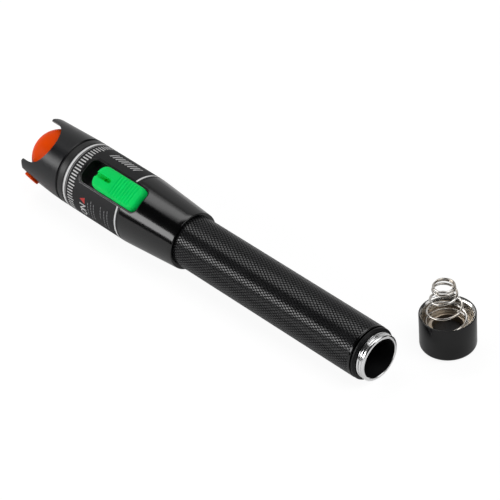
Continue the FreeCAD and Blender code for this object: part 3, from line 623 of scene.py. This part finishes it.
carve(head, [cutter(rounded_outline(WINDOW_REAR, WINDOW_FRONT, WINDOW_WIDTH, WINDOW_CORNER),
                    CUT_LOW)])
sharpen(head)
stand_for(head, "head_sleeve")

rear_edge, front_edge = FILM_REAR + FILM_GAP, FILM_FRONT - FILM_GAP
bm = bmesh.new()
lathe(bm, [(rear_edge, FILM_INNER_R), (rear_edge, HEAD_R - FILM_BEVEL),
           (rear_edge + FILM_BEVEL, HEAD_R), (FILM_MIDDLE, HEAD_R),
           (front_edge - FILM_BEVEL, HEAD_R), (front_edge, HEAD_R - FILM_BEVEL),
           (front_edge, FILM_INNER_R)], HEAD_SEGMENTS, closed=True)
film = new_piece("label_film", bm, pen_matrix, label_film)
carve(film, [cutter(rounded_outline(WINDOW_REAR - FILM_MARGIN, WINDOW_FRONT + FILM_MARGIN,
                                    FILM_CUT_WIDTH, FILM_CUT_CORNER), CUT_LOW)])
sharpen(film)
stand_for(film, "label_wrap")


# Switch button

BUTTON_REAR, BUTTON_FRONT, BUTTON_HALF = 108.25, 132.85, 4.85
BUTTON_TOP, BUTTON_FOOT = 14.35, 9.2
REAR_CORNER, FRONT_CORNER, EDGE_ROUND = 3.0, 4.2, 1.15
REAR_STRAIGHT, FRONT_STRAIGHT = BUTTON_REAR + REAR_CORNER, BUTTON_FRONT - FRONT_CORNER
SIDE_FALL, FRONT_FALL, FRONT_FALL_FROM = 0.45, 1.1, 128.8
DISH_DEPTH, DISH_MIDDLE, DISH_SPREAD = 0.26, 117.0, 5.2
RIB_PITCH, RIB_HEIGHT, RIB_CREST = 1.4, 0.17, 112.15
RIBS_FROM, RIBS_TO, RIB_FADE = 110.4, 122.6, 0.6
RIB_EDGE = 0.5
ROW_STEP = 0.1
SLOT_END, SLOT_BEYOND, SLOT_HALF, SLOT_FLOOR = 124.6, 134.0, 0.9, 12.0
PITS, PIT_R, PIT_FLOOR, PIT_TOP = (124.6, 127.9), 0.62, 11.35, 13.0


def button_half(station):
    """Half the button's width in plan at a station."""
    front = station - FRONT_STRAIGHT
    rear = REAR_STRAIGHT - station
    if front > 0:
        return BUTTON_HALF - FRONT_CORNER + math.sqrt(max(0.0, FRONT_CORNER ** 2 - front ** 2))
    if rear > 0:
        return BUTTON_HALF - REAR_CORNER + math.sqrt(max(0.0, REAR_CORNER ** 2 - rear ** 2))
    return BUTTON_HALF


def button_inset(station, side):
    """Distance of a point in plan from the button's outline."""
    side = abs(side)
    front = station - FRONT_STRAIGHT
    rear = REAR_STRAIGHT - station
    if front > 0 and side > BUTTON_HALF - FRONT_CORNER:
        return FRONT_CORNER - math.hypot(front, side - BUTTON_HALF + FRONT_CORNER)
    if rear > 0 and side > BUTTON_HALF - REAR_CORNER:
        return REAR_CORNER - math.hypot(rear, side - BUTTON_HALF + REAR_CORNER)
    return min(BUTTON_HALF - side, BUTTON_FRONT - station, station - BUTTON_REAR)


def button_level(station, side):
    """The button's top: a crown, a fall at the front, a thumb dish with soft ribs, round edges."""
    crown = 1 - (side / BUTTON_HALF) ** 2
    inset = button_inset(station, side)
    down_front = (station - FRONT_FALL_FROM) / (BUTTON_FRONT - FRONT_FALL_FROM)
    z = BUTTON_TOP - SIDE_FALL * (1 - crown)
    z -= FRONT_FALL * max(0.0, down_front) ** 2.4
    z -= DISH_DEPTH * math.exp(-((station - DISH_MIDDLE) / DISH_SPREAD) ** 2) * crown
    field = max(0.0, min(1.0, (station - RIBS_FROM) / RIB_FADE, (RIBS_TO - station) / RIB_FADE,
                         (inset - RIB_EDGE) / RIB_EDGE))
    rib = 0.5 * math.cos(2 * math.pi * (station - RIB_CREST) / RIB_PITCH) - 0.5
    z += RIB_HEIGHT * field * rib
    inset = max(0.0, inset)
    if inset < EDGE_ROUND:
        z -= EDGE_ROUND - math.sqrt(EDGE_ROUND ** 2 - (EDGE_ROUND - inset) ** 2)
    return z


stations = [BUTTON_REAR + REAR_CORNER * (1 - math.cos(math.radians(a))) for a in range(0, 90, 6)]
stations += [REAR_STRAIGHT + ROW_STEP * k
             for k in range(round((FRONT_STRAIGHT - REAR_STRAIGHT) / ROW_STEP))]
stations += [FRONT_STRAIGHT + FRONT_CORNER * math.sin(math.radians(a)) for a in range(0, 91, 3)]
spread = [math.sin(math.radians(a)) for a in range(-90, 91, 3)]
bm = bmesh.new()
rows = [[bm.verts.new(Vector((-s, button_half(s) * t, button_level(s, button_half(s) * t))) * MM)
         for t in spread] for s in stations]
for a, b in zip(rows, rows[1:]):
    join_rows(bm, a, b, closed=False)
rim = [e for e in bm.edges if e.is_boundary]
skirt = bmesh.ops.extrude_edge_only(bm, edges=rim)["geom"]
for v in skirt:
    if isinstance(v, bmesh.types.BMVert):
        v.co.z = BUTTON_FOOT * MM
bmesh.ops.holes_fill(bm, edges=[e for e in bm.edges if e.is_boundary], sides=0)
button = new_piece("slide_button", bm, switch_matrix, green_plastic)
slot = arc((SLOT_END, 0.0), SLOT_HALF, 90, 270, 12)
slot += [(SLOT_BEYOND, -SLOT_HALF), (SLOT_BEYOND, SLOT_HALF)]
pits = [cutter(arc((station, 0.0), PIT_R, 0, 350, 35), PIT_FLOOR, PIT_TOP) for station in PITS]
carve(button, [cutter(slot, SLOT_FLOOR)] + pits)
sharpen(button, 38.0)
stand_for(button, "switch_button", "switch")


# Soft dust cap. Its channel for the strap lies on the side of the lower prong.

STRAP_ANGLE = 120.0
TIP_R = 0.02
DOME_R, DOME_INNER_R, DOME_CENTRE, SKIRT = 11.0, 8.4, 161.7, 157.0
LIP_ROUND = 0.4
PLUG_R, PLUG_BORE_R, PLUG_ROOT, PLUG_FLOOR = 6.36, 4.46, 166.6, 161.1
CHANNEL_HALF, CHANNEL_FLOOR = 2.3, 9.55

outward = Vector((0, -math.sin(math.radians(STRAP_ANGLE)), math.cos(math.radians(STRAP_ANGLE))))
across = Vector((1, 0, 0)).cross(outward)

profile = [(DOME_CENTRE + DOME_R, TIP_R)] + arc((DOME_CENTRE, 0.0), DOME_R, 2, 90, 44)
profile += [(159.6, DOME_R), (157.5, DOME_R), (157.15, DOME_R - 0.1), (SKIRT, DOME_R - LIP_ROUND),
            (SKIRT, DOME_INNER_R + LIP_ROUND), (157.1, DOME_INNER_R + 0.1),
            (157.4, DOME_INNER_R), (160.0, DOME_INNER_R)]
profile += arc((DOME_CENTRE, 0.0), DOME_INNER_R, 90, 52, 14)
profile += [(PLUG_ROOT, PLUG_R), (157.2, PLUG_R), (SKIRT, 6.15), (SKIRT, 4.75),
            (157.3, PLUG_BORE_R), (PLUG_FLOOR, PLUG_BORE_R), (PLUG_FLOOR, TIP_R)]
bm = bmesh.new()
rings = lathe(bm, profile, 240)
bm.faces.new(list(reversed(rings[0])))
bm.faces.new(rings[-1])
for v in bm.verts:
    out, side = v.co.dot(outward), v.co.dot(across)
    if abs(side) < CHANNEL_HALF * MM and out > CHANNEL_FLOOR * MM:
        v.co += outward * (CHANNEL_FLOOR * MM - out)
dome = new_piece("dome_cap", bm, pen_matrix, orange_rubber)
sharpen(dome, 40.0)
stand_for(dome, "dust_cap", "dust_cap")


# Stud of the strap, as (height, radius) over the prong's flat, and the strap

STUD_STATION, FLAT_DISTANCE, FLAT_SLOPE = 167.0, 11.929, math.radians(4.97)
STUD_TOP = [(1.1, TIP_R), (1.1, 1.2), (1.06, 2.2)]
STUD_SHANK = [(0.06, 3.1), (0.0, 3.04), (0.0, 1.4), (-0.87, 1.4), (-0.87, 0.8), (-1.75, 0.8),
              (-1.75, 1.3), (-2.15, 1.3), (-2.2, 1.2), (-2.2, TIP_R)]
STRAP_HALF, STRAP_OUT, STRAP_THICK = 1.8, 10.6, 0.8
HOOK_STATION, HOOK_R, HOOK_END = 157.0, 0.83, 8.5
STRAP_SECTION = ((-1, 0.6), (-0.93, 1), (0, 1), (0.93, 1), (1, 0.6),
                 (1, -0.6), (0.93, -1), (0, -1), (-0.93, -1), (-1, -0.6))

stud_axis = outward * math.cos(FLAT_SLOPE) + Vector((-1, 0, 0)) * math.sin(FLAT_SLOPE)
stud_base = Vector((-STUD_STATION * MM, 0, 0)) + outward * (FLAT_DISTANCE * MM)
stud_turn = stud_axis.to_track_quat("Z", "Y").to_matrix().to_4x4()
stud_matrix = pen_matrix @ (Matrix.Translation(stud_base) @ stud_turn)

stud_edge = [(0.7 + 0.34 * math.sin(math.radians(a)), 2.74 + 0.36 * math.cos(math.radians(a)))
             for a in range(80, -1, -10)]
bm = bmesh.new()
rings = lathe(bm, STUD_TOP + stud_edge + STUD_SHANK, 72, place=upright_point)
bm.faces.new(rings[0])
bm.faces.new(list(reversed(rings[-1])))
stud = new_piece("soft_stud", bm, stud_matrix, orange_rubber)
sharpen(stud, 40.0)
stand_for(stud, "strap_stud")

hook_centre = STRAP_OUT - HOOK_R
path = [(STUD_STATION + STRAP_HALF * math.sin(math.radians(a)), STRAP_OUT)
        for a in range(84, 0, -12)]
path += [(station, STRAP_OUT) for station in (STUD_STATION, 165.0, 162.5, 160.0, 158.4)]
path += [(HOOK_STATION - HOOK_R * math.sin(math.radians(a)),
          hook_centre + HOOK_R * math.cos(math.radians(a))) for a in range(10, 91, 16)]
path += [(HOOK_STATION - HOOK_R, 9.2), (HOOK_STATION - HOOK_R, HOOK_END)]
bm = bmesh.new()
sections = []
for n, (station, out) in enumerate(path):
    back = path[max(0, n - 1)]
    ahead = path[min(len(path) - 1, n + 1)]
    run = Vector((-(ahead[0] - back[0]), 0.0, ahead[1] - back[1])).normalized()
    thick = Vector((-run.z, 0.0, run.x)) * (STRAP_THICK / 2)
    past_stud = max(0.0, station - STUD_STATION) / STRAP_HALF
    half = STRAP_HALF * math.sqrt(max(0.01, 1 - past_stud ** 2))
    ring = []
    for u, w in STRAP_SECTION:
        middle = Vector((-station + thick.x * w, 0, 0)) + outward * (out + thick.z * w)
        ring.append(bm.verts.new((middle + across * (half * u)) * MM))
    sections.append(ring)
for a, b in zip(sections, sections[1:]):
    join_rows(bm, a, b)
bm.faces.new(sections[0])
bm.faces.new(list(reversed(sections[-1])))
strap = new_piece("soft_strap", bm, pen_matrix, orange_rubber)
sharpen(strap, 40.0)
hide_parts("cap_strap")
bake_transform(strap)


# Tail cap

CAP_R, CAP_HEIGHT, CAP_ROUND, CAP_MOUTH_R = 10.05, 13.7, 1.5, 9.6
LIP, LIP_INSET = 0.15, 0.04
CAP_THREAD_R, CAP_THREAD_TOP, CAP_TURN_STEP, CAP_TURN_ROWS = 8.85, 12.6, 0.06, 54
CAP_STEP, STEP_BEVEL, WELL_R, WELL_FLOOR = 8.7, 0.1, 5.4, 6.1

bm = bmesh.new()
rings = lathe(bm, [(0.0, TIP_R), (0.0, 8.0)]
              + arc((CAP_ROUND, CAP_R - CAP_ROUND), CAP_ROUND, 180, 90, 9)
              + [(CAP_HEIGHT - LIP, CAP_R), (CAP_HEIGHT - LIP_INSET, CAP_R - LIP_INSET),
                 (CAP_HEIGHT, CAP_R - LIP), (CAP_HEIGHT, CAP_MOUTH_R)], 180, place=upright_point)
bm.faces.new(rings[0])
cap_shell = new_piece("cap_shell", bm, cap_matrix, cap_black)
sharpen(cap_shell, 40.0)
stand_for(cap_shell, "tail_cap")

turns = [(CAP_THREAD_TOP - CAP_TURN_STEP * k, CAP_THREAD_R) for k in range(CAP_TURN_ROWS)]
bm = bmesh.new()
lathe(bm, [(CAP_HEIGHT, CAP_MOUTH_R), (13.66, 9.54), (12.95, 8.9), (12.85, CAP_THREAD_R)] + turns
      + [(9.3, CAP_THREAD_R), (CAP_STEP + STEP_BEVEL, CAP_THREAD_R),
         (CAP_STEP, CAP_THREAD_R - STEP_BEVEL), (CAP_STEP, WELL_R + STEP_BEVEL),
         (CAP_STEP - STEP_BEVEL, WELL_R), (WELL_FLOOR, WELL_R)], 200,
      thread_wave(9.4, CAP_THREAD_TOP, 0.4, -1, 1), place=upright_point)
cap_inside = new_piece("cap_inside", bm, cap_matrix, cap_metal)
sharpen(cap_inside, 40.0)
stand_for(cap_inside, "tail_cap")


# Conical contact spring

WIRE_R, WIRE_SIDES, WIRE_TIP, WIRE_TIP_SHARE = 0.42, 14, 0.2, 0.55
SPRING = (  # level, radius and lean to the camera's left, at each half turn from the left
    (9.13, 7.05, 0.3), (9.55, 7.05, 0.3), (10.25, 7.05, 0.4), (11.75, 6.95, 0.5),
    (14.6, 6.45, 0.62), (17.5, 5.75, 0.75), (20.0, 5.0, 0.88), (22.6, 4.35, 0.95),
    (24.15, 3.95, 1.0), (25.1, 3.8, 1.0), (25.62, 3.7, 0.98), (25.94, 3.6, 0.95),
    (25.97, 3.55, 0.95))
HALF_TURNS, HALF_TURN_STEPS = 11.7, 40
left_angle = math.atan2(camera_left.y, camera_left.x)


def between(table, at):
    """A smooth value of a table of rows at a place between them."""
    k = min(int(at), len(table) - 2)
    f = at - k
    rows = [table[max(0, min(len(table) - 1, k + n))] for n in (-1, 0, 1, 2)]
    return [0.5 * (2 * b + (c - a) * f + (2 * a - 5 * b + 4 * c - d) * f * f
                   + (3 * b - a - 3 * c + d) * f ** 3) for a, b, c, d in zip(*rows)]


def add_wire(bm, points):
    """A round wire along points, with rounded ends."""
    rings = []
    for n, at in enumerate(points):
        run = (points[min(len(points) - 1, n + 1)] - points[max(0, n - 1)]).normalized()
        out = run.cross(Vector((0, 0, 1))).normalized()
        lift = out.cross(run)
        size = WIRE_R * (WIRE_TIP_SHARE if n in (0, len(points) - 1) else 1.0)
        turns = [2 * math.pi * k / WIRE_SIDES for k in range(WIRE_SIDES)]
        rings.append([bm.verts.new((at + (out * math.cos(t) + lift * math.sin(t)) * size) * MM)
                      for t in turns])
    for a, b in zip(rings, rings[1:]):
        join_rows(bm, a, b)
    bm.faces.new(list(reversed(rings[0])))
    bm.faces.new(rings[-1])


points = []
for k in range(int(HALF_TURNS * HALF_TURN_STEPS) + 1):
    level, radius, lean = between(SPRING, k / HALF_TURN_STEPS)
    angle = left_angle + math.pi * k / HALF_TURN_STEPS
    points.append(Vector((radius * math.cos(angle), radius * math.sin(angle), level))
                  + camera_left * lean)
first_tip = points[0] + (points[0] - points[1]).normalized() * WIRE_TIP
last_tip = points[-1] + (points[-1] - points[-2]).normalized() * WIRE_TIP
bm = bmesh.new()
add_wire(bm, [first_tip] + points + [last_tip])
coil = new_piece("cone_spring", bm, cap_matrix, spring_steel)
sharpen(coil, 60.0)
stand_for(coil, "cap_spring")


# Marks on the label: plain strokes, a pointer, the word on the switch's end position and a painted
# highlight along the film's cut edge

MARK_R = HEAD_R + 0.012
DEGREE = math.pi * MARK_R / 180.0
LETTER_LOW, LETTER_HIGH, LETTER_STROKE = 132.3, 135.7, 0.5
O_ANGLE, O_HALF = 105.0, (1.45, 4.9)
N_LEFT, N_RIGHT = 98.2, 89.2
POINTER = ((132.75, 74.5), (132.75, 86.0), (135.5, 80.35), (135.5, 80.15))
FINE_LINES = (  # station, first angle and last angle
    (120.3, 73, 109), (122.0, 76, 109), (124.0, 73, 96),
    (127.8, 77, 109), (129.3, 74, 109), (131.0, 80, 104))
FINE_STROKE, DASH, DASH_GROWTH, DASH_GAP = 0.34, 2.2, 0.45, 1.3
BARS, BAR_FROM, BAR_PITCH, BAR_LEAN = 9, 120.9, 1.6, 1.5
BAR_ANGLES, BAR_STROKE = (-28.0, -12.0), 0.6
SCALE_MARKS, SCALE_FROM, SCALE_PITCH, SCALE_STROKE = 31, -42.0, 5.4, 0.5
SCALE_FOOT, SCALE_LONG_FOOT, SCALE_TOP, SCALE_LONG_EACH = 139.7, 139.2, 142.5, 5
# A painted highlight along the film's lower cut edge: its first and last station, its angle and
# its width
HIGHLIGHT_STATIONS, HIGHLIGHT_ANGLE, HIGHLIGHT_STROKE = (114.7, 137.6), 55.75, 0.15


def patch(bm, corners):
    """A thin mark with four corners given as (station, angle), laid on the label."""
    (s0, a0), (s1, a1), (s2, a2), (s3, a3) = corners
    steps = max(1, int(max(abs(a1 - a0), abs(a2 - a3), abs(a3 - a0), abs(a2 - a1)) / 1.5))
    rows = []
    for m in range(steps + 1):
        v = m / steps
        row = []
        for k in range(steps + 1):
            u = k / steps
            s = (s0 * (1 - u) + s1 * u) * (1 - v) + (s3 * (1 - u) + s2 * u) * v
            a = (a0 * (1 - u) + a1 * u) * (1 - v) + (a3 * (1 - u) + a2 * u) * v
            row.append(bm.verts.new(pen_point(s, MARK_R, a)))
        rows.append(row)
    for r, t in zip(rows, rows[1:]):
        join_rows(bm, r, t, closed=False)


def stroke(bm, start, end, width):
    """A straight pen stroke between two (station, angle) points."""
    ds, da = end[0] - start[0], (end[1] - start[1]) * DEGREE
    length = math.hypot(ds, da)
    ns, na = -da / length * width / 2, ds / length * width / 2 / DEGREE
    patch(bm, ((start[0] + ns, start[1] + na), (end[0] + ns, end[1] + na),
               (end[0] - ns, end[1] - na), (start[0] - ns, start[1] - na)))


def mark_piece(name, bm, material):
    """A piece of marks on the label's film."""
    stand_for(new_piece(name, bm, pen_matrix, material), "label_wrap")


bm = bmesh.new()
loop = [((LETTER_LOW + LETTER_HIGH) / 2 + O_HALF[0] * math.cos(math.radians(k)),
         O_ANGLE + O_HALF[1] * math.sin(math.radians(k))) for k in range(0, 361, 15)]
for a, b in zip(loop, loop[1:]):
    stroke(bm, a, b, LETTER_STROKE)
for a, b in (((LETTER_LOW, N_LEFT), (LETTER_HIGH, N_LEFT)),
             ((LETTER_LOW, N_RIGHT), (LETTER_HIGH, N_RIGHT)),
             ((LETTER_HIGH - 0.1, N_LEFT - 0.2), (LETTER_LOW + 0.1, N_RIGHT + 0.2))):
    stroke(bm, a, b, LETTER_STROKE)
mark_piece("switch_word", bm, white_ink)

bm = bmesh.new()
patch(bm, POINTER)
mark_piece("switch_pointer", bm, red_ink)

bm = bmesh.new()
for station, angle, end in FINE_LINES:
    length = 0
    while angle < end:
        length = (length * 7 + 5) % 9
        dash = DASH + DASH_GROWTH * length
        stroke(bm, (station, angle), (station, min(end, angle + dash)), FINE_STROKE)
        angle += dash + DASH_GAP
mark_piece("fine_lines", bm, grey_ink_and_highlight)

bm = bmesh.new()
for k in range(BARS):
    station = BAR_FROM + BAR_PITCH * k
    stroke(bm, (station, BAR_ANGLES[0]), (station + BAR_LEAN, BAR_ANGLES[1]), BAR_STROKE)
mark_piece("slanted_bars", bm, white_ink)

bm = bmesh.new()
for k in range(SCALE_MARKS):
    angle = SCALE_FROM + SCALE_PITCH * k
    foot = SCALE_FOOT if k % SCALE_LONG_EACH else SCALE_LONG_FOOT
    stroke(bm, (foot, angle), (SCALE_TOP, angle), SCALE_STROKE)
mark_piece("ring_scale", bm, white_ink)

# A grey line along the film's lower cut edge is a painted highlight, standing in for the light
# that the edge catches.
bm = bmesh.new()
stroke(bm, (HIGHLIGHT_STATIONS[0], HIGHLIGHT_ANGLE), (HIGHLIGHT_STATIONS[1], HIGHLIGHT_ANGLE), HIGHLIGHT_STROKE)
mark_piece("film_edge_painted_highlight", bm, grey_ink_and_highlight)


# Camera at the photo's angle

ELEVATION, ROLL = math.radians(37.808), math.radians(4.914)
DISTANCE = 0.92032
LOOK_AT = Vector((-0.0043177, 0.0073178, 0.0))
SENSOR, LENS, FAR_CLIP = 36.0, 181.07, 20.0

to_eye = to_camera * math.cos(ELEVATION) + Vector((0, 0, math.sin(ELEVATION)))
forward = -to_eye
right = forward.cross(Vector((0, 0, 1))).normalized()
up = right.cross(forward)
rolled_right = right * math.cos(ROLL) - up * math.sin(ROLL)
rolled_up = right * math.sin(ROLL) + up * math.cos(ROLL)
camera_turn = Matrix((rolled_right, rolled_up, to_eye)).transposed().to_4x4()
camera_data = bpy.data.cameras.new("camera")
camera_data.sensor_width = SENSOR
camera_data.lens = LENS
camera_data.clip_end = FAR_CLIP
camera = bpy.data.objects.new("camera", camera_data)
camera.matrix_world = Matrix.Translation(LOOK_AT + to_eye * DISTANCE) @ camera_turn
scene.collection.objects.link(camera)
scene.camera = camera


# Lights, each placed in metres as (to the camera's right, away from it, up) from LOOK_AT

def panel(name, place, size, radiance):
    """A rectangular light of an even radiance that faces the object."""
    data = bpy.data.lights.new(name, "AREA")
    data.shape = "RECTANGLE"
    data.size, data.size_y = size
    data.energy = radiance * math.pi * size[0] * size[1]
    lamp = bpy.data.objects.new(name, data)
    offset = right * place[0] - to_camera * place[1] + Vector((0, 0, place[2]))
    turn = (-offset).to_track_quat("-Z", "Y").to_matrix().to_4x4()
    lamp.matrix_world = Matrix.Translation(LOOK_AT + offset) @ turn
    scene.collection.objects.link(lamp)


panel("left_panel", (-1.2, -0.1, 0.46), (1.3, 0.38), 5.6)
panel("top_panel", (-0.2, 0.565, 1.018), (1.0, 0.36), 1.15)
panel("top_core", (-0.2, 0.535, 1.005), (1.0, 0.2), 1.7)
panel("right_panel", (1.3, -0.4, 0.9), (0.8, 0.8), 1.2)
panel("fill_panel", (0.55, -0.45, 1.25), (0.9, 0.9), 2.3)


# Floor: pale under the lamps, near white with the object's shadow for the camera, and dimmer in
# mirrors, where it still shows the shadow

FLOOR_HALF, FLOOR_DROP = 6.0, 0.05 * MM
SEEN_GLOW, MIRRORED_GLOW = 0.92, 0.24
SEEN_TONE, MIRRORED_TONE = (0.16, 0.16, 0.16), (0.72, 0.72, 0.72)

s = Shader("floor")
tone = s.blend(s.noise(3.0, 2.0), (0.9, 0.9, 0.9), (0.87, 0.87, 0.87))
s.put(Base_Color=tone, Roughness=0.95, Specular_IOR_Level=0.0)
rays = s.add("ShaderNodeLightPath")
mirrored = s.math("MAXIMUM", rays.outputs["Is Glossy Ray"], rays.outputs["Is Transmission Ray"])
seen = s.math("MAXIMUM", rays.outputs["Is Camera Ray"], mirrored)
glow = s.add("ShaderNodeEmission")
s.link(s.ramp(mirrored, 0.0, 1.0, SEEN_GLOW, MIRRORED_GLOW), glow.inputs["Strength"])
faint = s.add("ShaderNodeBsdfDiffuse")
s.link(s.blend(mirrored, SEEN_TONE, MIRRORED_TONE), faint.inputs["Color"])
both = s.add("ShaderNodeAddShader")
s.link(glow.outputs[0], both.inputs[0])
s.link(faint.outputs[0], both.inputs[1])
mixed = s.add("ShaderNodeMixShader")
for socket, value in zip(mixed.inputs, (seen, s.surface.outputs[0], both.outputs[0])):
    s.link(value, socket)
s.link(mixed.outputs[0], s.out.inputs["Surface"])
bm = bmesh.new()
bmesh.ops.create_grid(bm, x_segments=1, y_segments=1, size=FLOOR_HALF)
floor = new_piece("floor", bm, Matrix.Translation(Vector((0, 0, -FLOOR_DROP))), s.material,
                  smooth=False)


# Surroundings: white for the camera, else dark with a soft glow low down behind the object

BACK_GLOW, DARK = 0.5, 0.02

world = bpy.data.worlds.new("world")
world.use_nodes = True
scene.world = world
w = Nodes(world.node_tree)
background = w.add("ShaderNodeBackground")
w.link(background.outputs[0], w.add("ShaderNodeOutputWorld").inputs["Surface"])
direction = w.add("ShaderNodeTexCoord").outputs["Generated"]
low_down = w.ramp(w.split(direction)[2], 0.62, 0.8, 1.0, 0.0)
away = w.add("ShaderNodeVectorMath", operation="DOT_PRODUCT")
w.link(direction, away.inputs[0])
away.inputs[1].default_value = -to_camera
behind = w.ramp(away.outputs["Value"], 0.35, 0.7)
level = w.math("MULTIPLY_ADD", w.math("MULTIPLY", low_down, behind), BACK_GLOW, DARK)
camera_ray = w.add("ShaderNodeLightPath").outputs["Is Camera Ray"]
w.link(w.math("MAXIMUM", level, camera_ray), background.inputs["Strength"])
background.inputs["Color"].default_value = (1.0, 1.0, 1.0, 1.0)

scene.view_settings.view_transform = "Standard"
